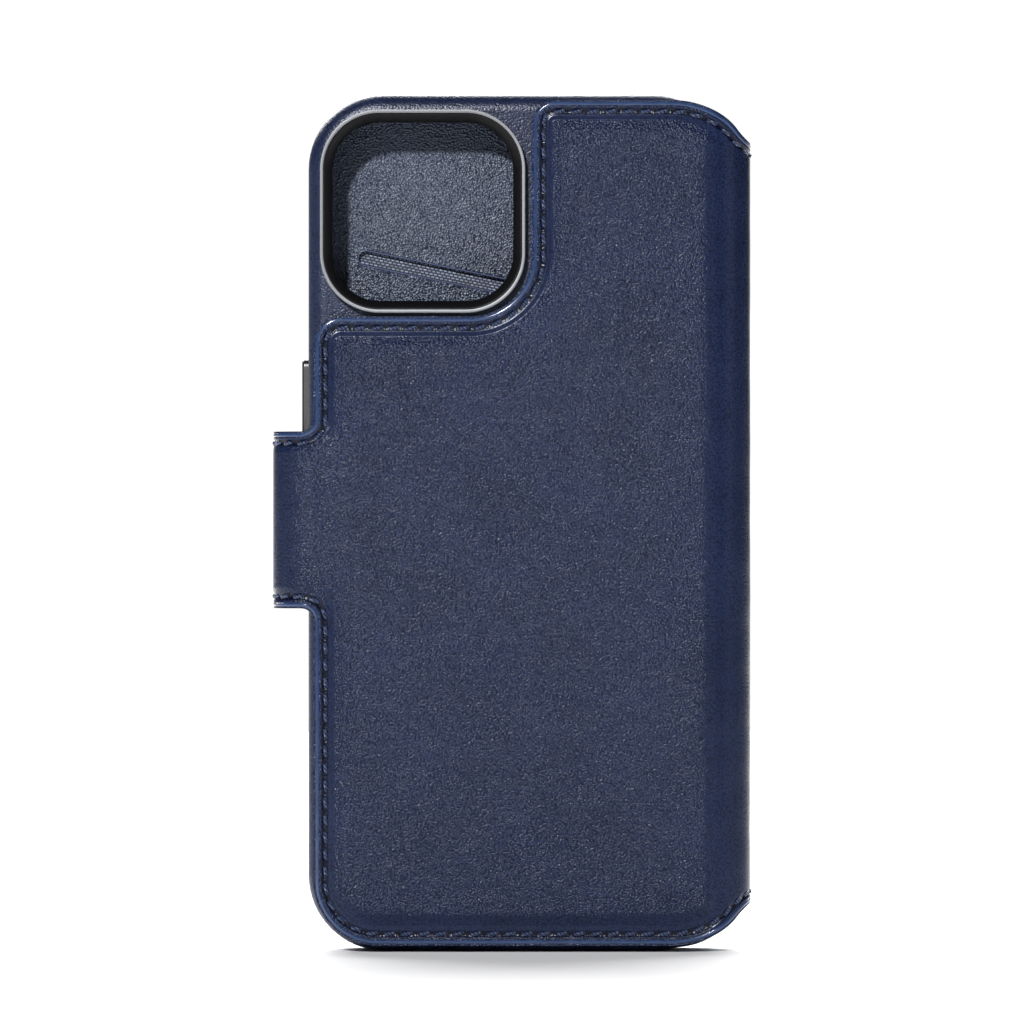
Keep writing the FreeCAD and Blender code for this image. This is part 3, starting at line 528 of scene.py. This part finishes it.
def leather_material(name, color, on_hide, roughness=0.23, pebble=0.00036, depth=0.00015,
                     specular=0.24):
    """Pebbled leather: small round domes with creases between, fine pores and a mottled dye, with
    painted shade in the creases and the stitch channel.
    """
    material, tree, shader = new_material(name, color, roughness)
    shader.inputs["Specular IOR Level"].default_value = specular
    shader.inputs["Specular Tint"].default_value = COOL_GLINT
    place = coordinates(tree, on_hide)
    wander = node(tree, "TexNoise", {"Vector": place}, Scale=1100.0, Detail=2.0)
    bent = node(tree, "VectorMath", {0: wander.outputs["Color"]}, operation="SCALE", Scale=0.00026)
    spot = node(tree, "VectorMath", {0: place, 1: bent.outputs[0]}, operation="ADD").outputs[0]
    cells = node(tree, "TexVoronoi", {"Vector": spot}, feature="SMOOTH_F1", Scale=1 / pebble)
    cells.inputs["Smoothness"].default_value = 0.25
    reach = cells.outputs["Distance"]
    dome = math_node(tree, "SUBTRACT", 1.0, math_node(tree, "MULTIPLY", reach, reach))
    swell = node(tree, "TexNoise", {"Vector": place}, Scale=420.0, Detail=2.0)
    dome = math_node(tree, "MULTIPLY", dome, math_node(tree, "ADD", swell.outputs["Fac"], 0.5))
    pores = node(tree, "TexNoise", {"Vector": place}, Scale=6500.0, Detail=2.0, Roughness=0.6)
    height = math_node(tree, "ADD", dome, math_node(tree, "MULTIPLY", pores.outputs["Fac"], 0.10))
    if on_hide:
        grain = node(tree, "Attribute", attribute_name="grain").outputs["Fac"]
        share = math_node(tree, "ADD", math_node(tree, "MULTIPLY", grain, 0.9), 0.1)
        height = math_node(tree, "MULTIPLY", height, share)
    bump = node(tree, "Bump", {"Height": height}, Strength=1.0, Distance=depth)
    mottle = node(tree, "TexNoise", {"Vector": place}, Scale=70.0, Detail=4.0)
    dye_and_shade = ramp(tree, mottle.outputs["Fac"], 0.3, 0.7, shade(color, 0.88), shade(color, 1.14))
    # painted shade: the colour darkens towards the creases between the pebbles
    crease = ramp(tree, reach, 0.35, 0.7, (1, 1, 1), (0.45, 0.45, 0.5))
    if on_hide:
        # painted shade: the colour in the stitch channel is darkened to stand in for the shade that
        # falls there
        painted_seam_shade = node(tree, "Attribute", attribute_name="painted_seam_shade").outputs["Fac"]
        dye_and_shade = multiply(tree, dye_and_shade, ramp(tree, painted_seam_shade, 0.0, 1.0, (1, 1, 1), (0.14, 0.16, 0.24)))
    tint = multiply(tree, dye_and_shade, crease)
    gloss = node(tree, "MapRange", {"Value": mottle.outputs["Fac"]})
    gloss.inputs["To Min"].default_value = roughness - 0.04
    gloss.inputs["To Max"].default_value = roughness + 0.06
    tree.links.new(tint, shader.inputs["Base Color"])
    tree.links.new(gloss.outputs["Result"], shader.inputs["Roughness"])
    tree.links.new(bump.outputs["Normal"], shader.inputs["Normal"])
    return material


def paint_material():
    """Edge paint: a thick, glossy lacquer with a faint ripple."""
    material, tree, shader = new_material("edge_paint", PAINT, 0.16, Coat_Weight=0.3)
    shader.inputs["Coat Roughness"].default_value = 0.12
    place = coordinates(tree, False)
    ripple = node(tree, "TexNoise", {"Vector": place}, Scale=420.0, Detail=2.0)
    bump = node(tree, "Bump", {"Height": ripple.outputs["Fac"]}, Strength=0.35, Distance=0.0001)
    color = ramp(tree, ripple.outputs["Fac"], 0.3, 0.7, shade(PAINT, 0.8), shade(PAINT, 1.2))
    tree.links.new(color, shader.inputs["Base Color"])
    tree.links.new(bump.outputs["Normal"], shader.inputs["Normal"])
    return material


def thread_material():
    """Waxed two-ply thread, with painted shade between the plies and a painted highlight on them.
    """
    material, tree, shader = new_material("thread", THREAD, 0.30, Sheen_Weight=0.1)
    shader.inputs["Specular Tint"].default_value = COOL_GLINT
    place = coordinates(tree, True)
    plies = node(tree, "TexWave", {"Vector": place}, Scale=900.0, Distortion=1.5, Detail=2.0)
    plies.bands_direction = "DIAGONAL"
    bump = node(tree, "Bump", {"Height": plies.outputs["Fac"]}, Strength=1.0, Distance=0.00012)
    # painted shade and highlight: the colour runs from dark in the grooves between the plies to
    # light on their crowns
    color = ramp(tree, plies.outputs["Fac"], 0.2, 0.9, shade(THREAD, 0.2), shade(THREAD, 3.0))
    tree.links.new(color, shader.inputs["Base Color"])
    tree.links.new(bump.outputs["Normal"], shader.inputs["Normal"])
    return material


def suede_material(name, color):
    """Napped microfibre: no gloss, a fine nap and cloudy brush marks."""
    material, tree, shader = new_material(name, color, 0.95, Sheen_Weight=0.5)
    shader.inputs["Specular IOR Level"].default_value = 0.15
    place = coordinates(tree, False)
    nap = node(tree, "TexNoise", {"Vector": place}, Scale=3800.0, Detail=4.0, Roughness=0.7)
    brush = node(tree, "TexNoise", {"Vector": place}, Scale=45.0, Detail=3.0)
    color_out = ramp(tree, brush.outputs["Fac"], 0.3, 0.75, shade(color, 0.8), shade(color, 1.3))
    bump = node(tree, "Bump", {"Height": nap.outputs["Fac"]}, Strength=0.5, Distance=0.00012)
    tree.links.new(color_out, shader.inputs["Base Color"])
    tree.links.new(bump.outputs["Normal"], shader.inputs["Normal"])
    return material


def weave_material(name, color, fleck):
    """Woven lining cloth, laid along the slots: dark warp with pale weft floats in it."""
    material, tree, shader = new_material(name, color, 0.6, Sheen_Weight=0.2)
    place = node(tree, "SeparateXYZ", {"Vector": coordinates(tree, False)})
    flat = node(tree, "CombineXYZ", {"X": place.outputs["X"], "Y": place.outputs["Z"]})
    turned = node(tree, "VectorRotate", {"Vector": flat.outputs[0]}, rotation_type="Z_AXIS")
    turned.inputs["Angle"].default_value = SLOT_ANGLE
    floats = node(tree, "TexBrick", {"Vector": turned.outputs[0]}, Scale=1000.0)
    for key, value in (("Brick Width", 0.80), ("Row Height", 0.50), ("Mortar Size", 0.17),
                       ("Mortar Smooth", 0.6), ("Color1", (*shade(fleck, 0.4), 1)),
                       ("Color2", (*fleck, 1)), ("Mortar", (*shade(color, 0.3), 1))):
        floats.inputs[key].default_value = value
    bump = node(tree, "Bump", {"Height": floats.outputs["Fac"]}, Strength=1.0, Distance=0.0001)
    bump.invert = True
    tree.links.new(floats.outputs["Color"], shader.inputs["Base Color"])
    tree.links.new(bump.outputs["Normal"], shader.inputs["Normal"])
    return material


def plain_material(name, color, roughness, metallic=0.0, grain_scale=2500.0, depth=0.00003,
                   spread=0.12, specular=0.5):
    """Plastic, metal, board or foam: a fine surface grain and a slight change of colour."""
    material, tree, shader = new_material(name, color, roughness, Metallic=metallic)
    shader.inputs["Specular IOR Level"].default_value = specular
    place = coordinates(tree, False)
    grain = node(tree, "TexNoise", {"Vector": place}, Scale=grain_scale, Detail=3.0)
    cloud = node(tree, "TexNoise", {"Vector": place}, Scale=60.0, Detail=2.0)
    dark, light = shade(color, 1 - spread), shade(color, 1 + spread)
    tone = ramp(tree, cloud.outputs["Fac"], 0.3, 0.7, dark, light)
    bump = node(tree, "Bump", {"Height": grain.outputs["Fac"]}, Strength=0.5, Distance=depth)
    tree.links.new(tone, shader.inputs["Base Color"])
    tree.links.new(bump.outputs["Normal"], shader.inputs["Normal"])
    return material


HIDE = leather_material("navy_hide", NAVY, True)
SKIN = leather_material("navy_skin", NAVY, False, 0.34, 0.00038, 0.00005, specular=0.45)
INNER_LEATHER = leather_material("navy_card_leather", CARD_NAVY, True, 0.32, 0.00037, 0.00015,
                                 specular=0.60)
EDGE_PAINT = paint_material()
SLOT_PAINT = plain_material("slot_paint", shade(NAVY, 2.4), 0.35)
THREADS = thread_material()
NAP = suede_material("navy_microfibre", SUEDE)
CLOTH = weave_material("pocket_weave", WARP, WEFT)
PLASTIC = plain_material("shell_plastic", (0.012, 0.013, 0.017), 0.45)
RING_METAL = plain_material("ring_metal", (0.20, 0.205, 0.22), 0.50, metallic=1.0, spread=0.04)
BEZEL_BLACK = plain_material("bezel_black", (0.003, 0.003, 0.004), 0.42, specular=0.2)
BUTTON_METAL = plain_material("button_metal", (0.11, 0.108, 0.11), 0.34, metallic=1.0)
MAGNET = plain_material("magnet_nickel", (0.50, 0.49, 0.46), 0.3, metallic=1.0)
STEEL = plain_material("keeper_steel", (0.42, 0.43, 0.45), 0.38, metallic=1.0, grain_scale=900.0)
BOARD = plain_material("fibre_board", (0.24, 0.20, 0.16), 0.9, grain_scale=1200.0, depth=0.0001)
FOAM = plain_material("foam", (0.42, 0.42, 0.39), 0.95, grain_scale=1600.0, depth=0.0002)

NODE_MATERIALS = {
    HIDE: ("back_leather", "spine_leather", "front_leather", "strap_side_leather",
           "strap_tongue_leather"),
    SKIN: ("shell_leather",),
    INNER_LEATHER: ("card_panel",),
    NAP: ("back_lining", "spine_lining", "front_lining", "strap_side_lining",
          "strap_tongue_lining", "shell_lining"),
    CLOTH: ("card_pocket_upper", "card_pocket_middle", "card_pocket_lower"),
    PLASTIC: ("shell_frame",),
    RING_METAL: ("camera_ring",),
    BEZEL_BLACK: ("camera_bezel",),
    BUTTON_METAL: ("power_button", "volume_up_button", "volume_down_button"),
    MAGNET: ("back_magnets", "shell_magnets", "strap_magnets"),
    STEEL: ("keeper_plate",),
    BOARD: ("back_board", "spine_board", "front_board", "strap_side_board",
            "strap_tongue_board"),
    FOAM: ("back_foam",),
}
for material, names in NODE_MATERIALS.items():
    for name in names:
        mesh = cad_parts[name].data
        mesh.materials.clear()
        mesh.materials.append(material)


# ---- the hide: outer leather, lining, edge paint and stitches ----

CUTS = (STRAP_SIDE_CUT, STRAP_ROOT_CUT, SPINE_CUT)
# piece name: its reach in u, and the two bodies on either side of its fold
REGIONS = {
    "strap_tongue": (TONGUE_END_U - 1, STRAP_SIDE_CUT, "strap_tongue", "strap_side"),
    "strap_root": (STRAP_SIDE_CUT, STRAP_ROOT_CUT, "strap_side", "folio_back"),
    "back_panel": (STRAP_ROOT_CUT, SPINE_CUT, "folio_back", "spine"),
    "front_cover": (SPINE_CUT, FRONT_END_U + 1, "spine", "front_cover"),
}
REPLACED = {
    "strap_tongue": (["strap_tongue_leather"], ["strap_tongue_lining"]),
    "strap_root": (["strap_side_leather"], ["strap_side_lining"]),
    "back_panel": (["back_leather", "spine_leather"], ["back_lining", "spine_lining"]),
    "front_cover": (["front_leather", "spine_leather"], ["front_lining", "spine_lining"]),
}


def bend_piece(piece):
    """Bake a piece's placement into its mesh."""
    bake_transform(piece)


def in_region(u, region):
    """Whether u lies in a region of the hide."""
    low, high = REGIONS[region][:2]
    return (u > low) & (u < high)


def bend_columns(step):
    """Levels of u through every fold and the flat walls between them."""
    columns = []
    for low, high in ((BEND_X, FRONT_U), (TONGUE_U, -BEND_X)):
        count = round((high - low) / step)
        columns += [low + (high - low) * k / count for k in range(count + 1)]
    return columns


def hide_net(insets, spacing, column_step):
    """The flat hide as triangles, with rings at the insets and a loose net inside them."""
    corners = hide_outline()
    outer = loop(corners, 0.0, stations=CUTS)
    rings = [outer] + [loop(corners, i, stations=CUTS) for i in insets if i > 0]
    lines = []
    for u in CUTS:
        strap = u < 0
        low, high = (TONGUE_LOW.z, TONGUE_HIGH.z) if strap else (SPINE_LOW.z, SPINE_HIGH.z)
        lines.append(((u, low), (u, high)))
    flat_u = np.arange(TONGUE_END_U, FRONT_END_U, spacing)
    flat_u = [u for u in flat_u if not (BEND_X < u < FRONT_U or TONGUE_U < u < -BEND_X)]
    columns = [u for u in bend_columns(column_step) if min(abs(u - c) for c in CUTS) > 0.3]
    columns += [c + side for c in CUTS for side in (-0.12, 0.12)]
    columns += [PANEL_LEFT + inset for inset in insets if inset > GROOVE_START]
    heights = np.arange(0, FRONT_HIGH.z + spacing, spacing)
    grid = [(u, z + 0.25 * spacing * (k % 2)) for k, u in enumerate(flat_u) for z in heights]
    grid += [(u, z + 0.25 * spacing * (k % 2)) for k, u in enumerate(columns) for z in heights]
    grid = np.array(grid)
    grid = grid[inside(grid, outer)]
    grid = grid[distance_to(grid, outer) > max(insets) + 0.4]
    verts, faces = triangulate(rings, lines, grid)
    return verts, keep_inside(verts, faces, outer), distance_to(verts, outer)


def region_faces(verts, faces, region):
    """The faces of the net whose middles lie in a region."""
    middle = verts[faces][:, :, 0].mean(axis=1)
    return faces[in_region(middle, region)]


def inner_depth(u):
    """From the hide's face to the inmost face: the front cover is thicker by its card pockets."""
    return FOLIO + (COVER - FOLIO) * smooth(FRONT_U - 1, FRONT_U + 2, u)


def ripple(u, z):
    """Slow waves of the padding and the leather, within about +-1."""
    waves = np.sin(0.21 * u + 0.09 * z + 0.6) * np.sin(0.13 * z - 0.05 * u)
    waves = waves + 0.6 * np.sin(0.47 * u - 0.31 * z + 2.0) * np.sin(0.39 * z + 0.22 * u + 1.1)
    return waves / 1.6


def strap_creases(u, z):
    """Fine creases across the strap where it starts to bend, within about +-1."""
    band = smooth(30.5, 33.0, -u) * (1 - smooth(39.0, 42.0, -u))
    across = np.sin(2.3 * u + 0.9 * np.sin(0.45 * z) + 0.5 * np.sin(1.3 * z + 1.0))
    return band * across * (0.6 + 0.4 * np.sin(0.8 * z + 0.7 * u))


def make_hide():
    """The outer leather in four pieces that meet on the cuts."""
    insets = (0, BEAD, 1.05, 1.25, 1.45, 1.65, 1.85, STITCH_INSET, 2.3, 2.5, 2.7, 2.85, 3.2,
              3.5, 3.62, 3.8, 4.05, 4.35, 4.7, 5.0, 5.3, 5.6, 5.85)
    verts, faces, edge = hide_net(insets, 1.5, 0.75)
    u, z = verts[:, 0], verts[:, 1]
    panel = distance_to(verts, loop(hide_outline(with_strap=False))) * (u > PANEL_LEFT)
    lift = hide_lift(u, z, edge, panel)
    field = smooth(FIELD_START, FIELD_FULL + 2, panel)
    lift = lift + 0.07 * ripple(u, z) * field
    lift = lift + 0.04 * strap_creases(u, z) * smooth(2.3, 3.5, edge)
    grain = hide_grain(u, z, edge, panel)
    # where shade is painted into the stitch channel's colour
    painted_seam_shade = painted_shade_in_seam(edge)
    made = []
    for region in REGIONS:
        part = region_faces(verts, faces, region)
        points, quads, flat, used = slab(verts, part, lift, np.full(len(verts), -LEATHER), wrap)
        values = {"grain": np.concatenate([grain[used], grain[used]]),
                  "painted_seam_shade": np.concatenate([painted_seam_shade[used], painted_seam_shade[used]])}
        piece = add_mesh(region + "_hide", points, quads, HIDE, flat, values)
        bend_piece(piece)
        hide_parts(*REPLACED[region][0])
        made.append(piece)
    return made


def make_lining():
    """The inner microfibre, glued behind the boards."""
    verts, faces, edge = hide_net((0, 0.35, 0.7, 2.1), 4.0, 0.9)
    sunk = 0.12 * (1 - smooth(0.2, 0.9, edge)) + 0.08 * np.exp(-((edge - STITCH_INSET) / 0.5) ** 2)
    keep = edge >= 0.34
    for region in REGIONS:
        part = region_faces(verts, faces, region)
        part = part[keep[part].all(axis=1)]
        top = np.full(len(verts), -LEATHER - 0.65)
        points, quads, flat, _ = slab(verts, part, top, sunk - FOLIO, wrap)
        piece = add_mesh(region + "_nap", points, quads, NAP, flat)
        bend_piece(piece)
        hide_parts(*REPLACED[region][1])


def closed_ends(faces):
    """Faces over the open ends of a cut tube."""
    edges = {}
    for face in faces:
        for k, a in enumerate(face):
            edges[(a, face[(k + 1) % len(face)])] = True
    after = {b: a for a, b in edges if (b, a) not in edges}
    ends = []
    while after:
        first, spot = after.popitem()
        ring = [first]
        while spot != first:
            ring.append(spot)
            spot = after.pop(spot)
        ends.append(tuple(ring))
    return ends


def compact(points, flat, faces):
    """Only the points that the faces use."""
    used = sorted({i for face in faces for i in face})
    order = {old: new for new, old in enumerate(used)}
    return points[used], flat[used], [tuple(order[i] for i in face) for face in faces]


def make_edge():
    """The painted edge: a full, glossy bead round every edge of the folio."""
    outer = ((0.98, -0.10), (0.93, 0.04), (0.78, 0.11), (0.55, 0.10), (0.30, -0.03), (0.12, -0.28),
             (0.02, -0.62), (0.0, -1.0))
    inner = ((0.02, 0.62), (0.12, 0.28), (0.30, 0.03), (0.55, -0.10), (0.78, -0.11), (0.93, -0.04),
             (0.98, 0.10))
    corners = hide_outline()
    rings = []
    flats = []
    for inset, lift in outer:
        flat = loop(corners, inset, step=0.8, stations=CUTS)
        rings.append(wrap(flat[:, 0], flat[:, 1], np.full(len(flat), lift)))
        flats.append(flat)
    for inset, lift in inner:
        flat = loop(corners, inset, step=0.8, stations=CUTS)
        rings.append(wrap(flat[:, 0], flat[:, 1], lift - inner_depth(flat[:, 0])))
        flats.append(flat)
    points, faces = closed_strip(rings)
    flat = np.concatenate(flats)
    for region in REGIONS:
        part = [f for f in faces if in_region(flat[list(f), 0].mean(), region)]
        part += closed_ends(part)
        piece_points, piece_flat, part = compact(points, flat, part)
        piece = add_mesh(region + "_painted_edge", piece_points, part, EDGE_PAINT, piece_flat)
        bend_piece(piece)


def walk(ring, pitch):
    """Points and directions at an even pitch along a closed ring."""
    runs = np.roll(ring, -1, axis=0) - ring
    lengths = np.linalg.norm(runs, axis=1)
    ends = np.cumsum(lengths)
    count = round(ends[-1] / pitch)
    for k in range(count):
        at = (k + 0.5) * ends[-1] / count
        i = int(np.searchsorted(ends, at))
        way = runs[i] / lengths[i]
        yield ring[i] + way * (at - ends[i] + lengths[i]), way


STITCH_SHAPE = ((-1.10, -0.55, 0.6), (-1.00, -0.22, 0.9), (-0.80, 0.02, 1.0), (-0.40, 0.12, 1.05),
                (0.0, 0.14, 1.05), (0.40, 0.12, 1.05), (0.80, 0.02, 1.0), (1.00, -0.22, 0.9),
                (1.10, -0.55, 0.6))
THREAD_RADIUS = 0.33
THREAD_SIDES = 8


def stitch(spot, way, seat, face_up):
    """One stitch in flat space, as (u, z, lift) points and faces: a bent pad of thread."""
    tilt = math.radians(9)
    c, s = math.cos(tilt), math.sin(tilt)
    way = np.array([c * way[0] - s * way[1], s * way[0] + c * way[1]])
    side = np.array([-way[1], way[0]])
    points = []
    for along, rise, size in STITCH_SHAPE:
        for k in range(THREAD_SIDES):
            angle = 2 * math.pi * k / THREAD_SIDES
            out = THREAD_RADIUS * size * math.cos(angle)
            up = THREAD_RADIUS * size * 0.8 * math.sin(angle)
            flat = spot + way * along + side * out
            points.append((flat[0], flat[1], seat + face_up * (rise + up)))
    faces = []
    for r in range(len(STITCH_SHAPE) - 1):
        for k in range(THREAD_SIDES):
            j = (k + 1) % THREAD_SIDES
            a, b = r * THREAD_SIDES, (r + 1) * THREAD_SIDES
            faces.append((a + k, a + j, b + j, b + k)[::-int(face_up)])
    ends = tuple(range(THREAD_SIDES)), tuple(range(len(points) - THREAD_SIDES, len(points)))
    faces += [ends[0][::-int(face_up)], ends[1][::int(face_up)]]
    return points, faces


def make_stitches():
    """The row of stitches round the folio, on the hide and again on its inner face."""
    row = loop(hide_outline(), STITCH_INSET, step=0.5)
    gathered = {region: ([], []) for region in REGIONS}
    for spot, way in walk(row, STITCH_PITCH):
        region = next((r for r in REGIONS if in_region(spot[0], r)), None)
        if min(abs(spot[0] - cut) for cut in CUTS) < 0.2:
            spot = spot + way * 0.4
            region = next(r for r in REGIONS if in_region(spot[0], r))
        inner_seat = -float(inner_depth(spot[0])) + 0.02
        points, faces = gathered[region]
        for seat, face_up in ((-0.16, 1), (inner_seat, -1)):
            made, around = stitch(spot, way, seat, face_up)
            faces += [tuple(len(points) + i for i in f) for f in around]
            points += made
    for region, (points, faces) in gathered.items():
        flat = np.array(points)
        placed = wrap(flat[:, 0], flat[:, 1], flat[:, 2])
        piece = add_mesh(region + "_stitches", placed, faces, THREADS, flat[:, :2])
        bend_piece(piece)


hide_pieces = make_hide()
make_lining()
make_edge()
make_stitches()


# ---- the card panel inside the front cover ----

SLOT_CLEAR = 2.0                            # the widest ring of the net round a slot


def slot_ring(top, grow, step=0.9):
    """A slanted slot with round ends, grown or shrunk by grow."""
    a = np.array([SLOT_LEFT, top])
    b = np.array([SLOT_RIGHT, top - SLOT_FALL])
    way = (b - a) / np.linalg.norm(b - a)
    side = np.array([-way[1], way[0]])
    radius = SLOT_HALF + grow
    runs = round(np.linalg.norm(b - a) / step)
    points = []
    for start, end, turn in ((a, b, -1), (b, a, 1)):
        for k in range(runs):
            points.append(start + (end - start) * k / runs + side * radius * turn)
        for k in range(8):
            angle = math.pi * k / 8
            arm = turn * radius * (side * math.cos(angle) - way * math.sin(angle))
            points.append(end + arm)
    return np.array(points)


def card_place(x, z, lift):
    """A point of the card panel: lift 0 is the face towards the phone."""
    return np.stack([x, CARD_LOW.y - lift, z], axis=1)


def make_card_panel():
    """The leather pocket panel with three slanted slots."""
    corners = rounded_box(CARD_LOW.x, CARD_HIGH.x, CARD_LOW.z, CARD_HIGH.z, CARD_CORNER)
    outer = loop(corners, 0)
    rings = [loop(corners, inset) for inset in (0, 0.12, 0.3, 0.9, 1.5, 2.4)]
    holes = [slot_ring(top, 0) for top in SLOT_TOPS]
    for top in SLOT_TOPS:
        rings += [slot_ring(top, grow) for grow in (0, 0.1, 0.28, 0.6, 1.2, SLOT_CLEAR)]
    grid = np.array([(x, z) for x in np.arange(CARD_LOW.x, CARD_HIGH.x, 3.0)
                     for z in np.arange(CARD_LOW.z, CARD_HIGH.z, 3.0)])
    grid = grid[inside(grid, outer)]
    clear = distance_to(grid, outer) > 3
    for top in SLOT_TOPS:
        clear &= distance_to(grid, slot_ring(top, SLOT_CLEAR)) > 0.8
        clear &= ~inside(grid, slot_ring(top, SLOT_CLEAR))
    verts, faces = triangulate(rings, (), grid[clear])
    faces = keep_inside(verts, faces, outer, holes)
    edge = distance_to(verts, outer)
    slot_edge = np.min([distance_to(verts, hole) for hole in holes], axis=0)
    nearest = np.minimum(edge, slot_edge)
    rounding = 0.16 * (1 - np.sqrt(np.clip(1 - (1 - np.clip(nearest / 0.3, 0, 1)) ** 2, 0, 1)))
    crease = 0.10 * np.exp(-((slot_edge - 1.2) / 0.35) ** 2)
    lift = 0.03 * ripple(verts[:, 0] * 1.4, verts[:, 1]) - rounding - crease
    under = np.full(len(verts), -CARD_SHEET)
    points, quads, flat, _ = slab(verts, faces[:, ::-1], lift, under, card_place)
    grain = np.ones(len(points))
    panel = add_mesh("card_pocket_panel", points, quads, INNER_LEATHER, flat, {"grain": grain})
    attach(panel, "front_cover")
    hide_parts("card_panel")


def make_slot_paint():
    """The paint round the cut edge of each slot."""
    profile = ((0.10, 0.02), (0.02, 0.05), (-0.08, 0.02), (-0.14, -0.12), (-0.14, -0.62),
               (-0.06, -0.74), (0.10, -0.74))
    for number, top in enumerate(SLOT_TOPS):
        loops = []
        for grow, lift in profile:
            ring = slot_ring(top, grow)
            loops.append(card_place(ring[:, 0], ring[:, 1], np.full(len(ring), lift)))
        points, faces = closed_strip(loops)
        rim = add_mesh(f"card_slot_paint_{number + 1}", points, faces, SLOT_PAINT)
        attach(rim, "front_cover")


make_card_panel()
make_slot_paint()


# ---- the ring and the bezel round the camera window ----

def make_frame_ring(name, node_low, node_high, corner, profile, material, replaced):
    """A closed moulding round the window: the profile is (inset, depth behind the crest)."""
    corners = rounded_box(node_low.x, node_high.x, node_low.z, node_high.z, corner)
    loops = []
    for inset, depth in profile:
        flat = loop(corners, inset, 0.7)
        level = np.full(len(flat), node_low.y + depth)
        loops.append(np.stack([flat[:, 0], level, flat[:, 1]], axis=1))
    points, faces = closed_strip(loops)
    piece = add_mesh(name, points, faces, material)
    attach(piece, "phone_shell")
    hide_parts(replaced)


RING_CORNER = 10.6
RING_DEEP = RING_HIGH.y - RING_LOW.y
BEZEL_DEEP = BEZEL_HIGH.y - BEZEL_LOW.y
make_frame_ring("camera_surround", RING_LOW, RING_HIGH, RING_CORNER,
                ((0.0, RING_DEEP), (0.0, 0.16), (0.03, 0.06), (0.08, 0.01), (0.14, 0.0),
                 (0.56, 0.0), (0.61, 0.02), (0.63, 0.08), (0.63, RING_DEEP)),
                RING_METAL, "camera_ring")
make_frame_ring("camera_window_bezel", BEZEL_LOW, BEZEL_HIGH, RING_CORNER - 0.8,
                ((-0.16, BEZEL_DEEP), (-0.16, 0.12), (-0.10, 0.03), (0.0, 0.02), (0.15, 0.10),
                 (1.25, 1.15), (1.40, 1.40), (1.40, BEZEL_DEEP - 0.2), (1.20, BEZEL_DEEP)),
                BEZEL_BLACK, "camera_bezel")


# ---- the stage: pale floor, soft studio light and the camera ----

def area_light(name, spot, target, size, power):
    """A rectangular light at a spot, turned towards a target."""
    light = bpy.data.lights.new(name, "AREA")
    light.shape = "RECTANGLE"
    light.size, light.size_y = size
    light.energy = power
    lamp = bpy.data.objects.new(name, light)
    lamp.location = spot
    lamp.rotation_euler = (Vector(target) - Vector(spot)).to_track_quat("-Z", "Y").to_euler()
    bpy.context.scene.collection.objects.link(lamp)
    return lamp


DARK_STUDIO = (0.07, 0.07, 0.073)
BACKDROP = (1.05, 1.05, 1.05)
FLOOR_WHITE = (0.93, 0.93, 0.93)
FLOOR_GREY = (0.14, 0.14, 0.14)


def make_stage():
    """A dark studio with a small hard key light, a white backdrop and a white floor.

    Only a cone straight behind the object is white, and the floor turns grey well in front of
    it, so that neither washes out the leather.
    """
    world = bpy.data.worlds.new("studio")
    world.use_nodes = True
    tree = world.node_tree
    facing = node(tree, "SeparateXYZ", {"Vector": node(tree, "TexCoord").outputs["Generated"]})
    glow = ramp(tree, facing.outputs["Y"], 0.80, 0.93, DARK_STUDIO, BACKDROP)
    background = tree.nodes["Background"]
    tree.links.new(glow, background.inputs["Color"])
    background.inputs["Strength"].default_value = 1.0
    bpy.context.scene.world = world
    mesh = bpy.data.meshes.new("floor")
    left, right, near, far, level = -1.5, 1.5, -3.0, 1.5, -0.0001
    mesh.from_pydata([(left, near, level), (right, near, level), (right, far, level),
                      (left, far, level)], [], [(0, 1, 2, 3)])
    floor = bpy.data.objects.new("floor", mesh)
    material, tree, shader = new_material("floor_white", FLOOR_WHITE, 0.6)
    place = node(tree, "SeparateXYZ", {"Vector": node(tree, "TexCoord").outputs["Object"]})
    nearness = node(tree, "MapRange", {"Value": place.outputs["Y"]})
    nearness.inputs["From Min"].default_value = -0.8
    nearness.inputs["From Max"].default_value = -0.32
    white = ramp(tree, nearness.outputs["Result"], 0.0, 1.0, FLOOR_GREY, FLOOR_WHITE)
    tree.links.new(white, shader.inputs["Base Color"])
    mesh.materials.append(material)
    bpy.context.scene.collection.objects.link(floor)
    lamps = [area_light("key", (-0.37, -1.40, 0.75), (0, 0, 0.08), (0.09, 0.09), 27.0),
             area_light("fill", (0.60, -0.45, 0.25), (0, 0, 0.075), (0.4, 0.4), 0.3),
             area_light("floor_wash", (0, 1.3, 1.1), (0, 0.7, 0), (2.4, 1.0), 80.0)]


CAMERA_DISTANCE = 1.5
CAMERA_HEIGHT = 0.0780
VIEW_WIDTH = 0.1815                         # metres across the picture, at the padded back
SENSOR = 36


def make_camera():
    """Straight on to the padded back, and just above its middle."""
    lens = bpy.data.cameras.new("camera")
    lens.sensor_width = SENSOR
    lens.lens = SENSOR * CAMERA_DISTANCE / VIEW_WIDTH
    lens.clip_end = 20
    lens.dof.use_dof = False
    camera = bpy.data.objects.new("camera", lens)
    camera.location = (0, BACK_LOW.y * MM - CAMERA_DISTANCE, CAMERA_HEIGHT)
    camera.rotation_euler = (math.pi / 2, 0, 0)
    bpy.context.scene.collection.objects.link(camera)
    bpy.context.scene.camera = camera


make_stage()
make_camera()
bpy.context.scene.view_settings.view_transform = "Standard"
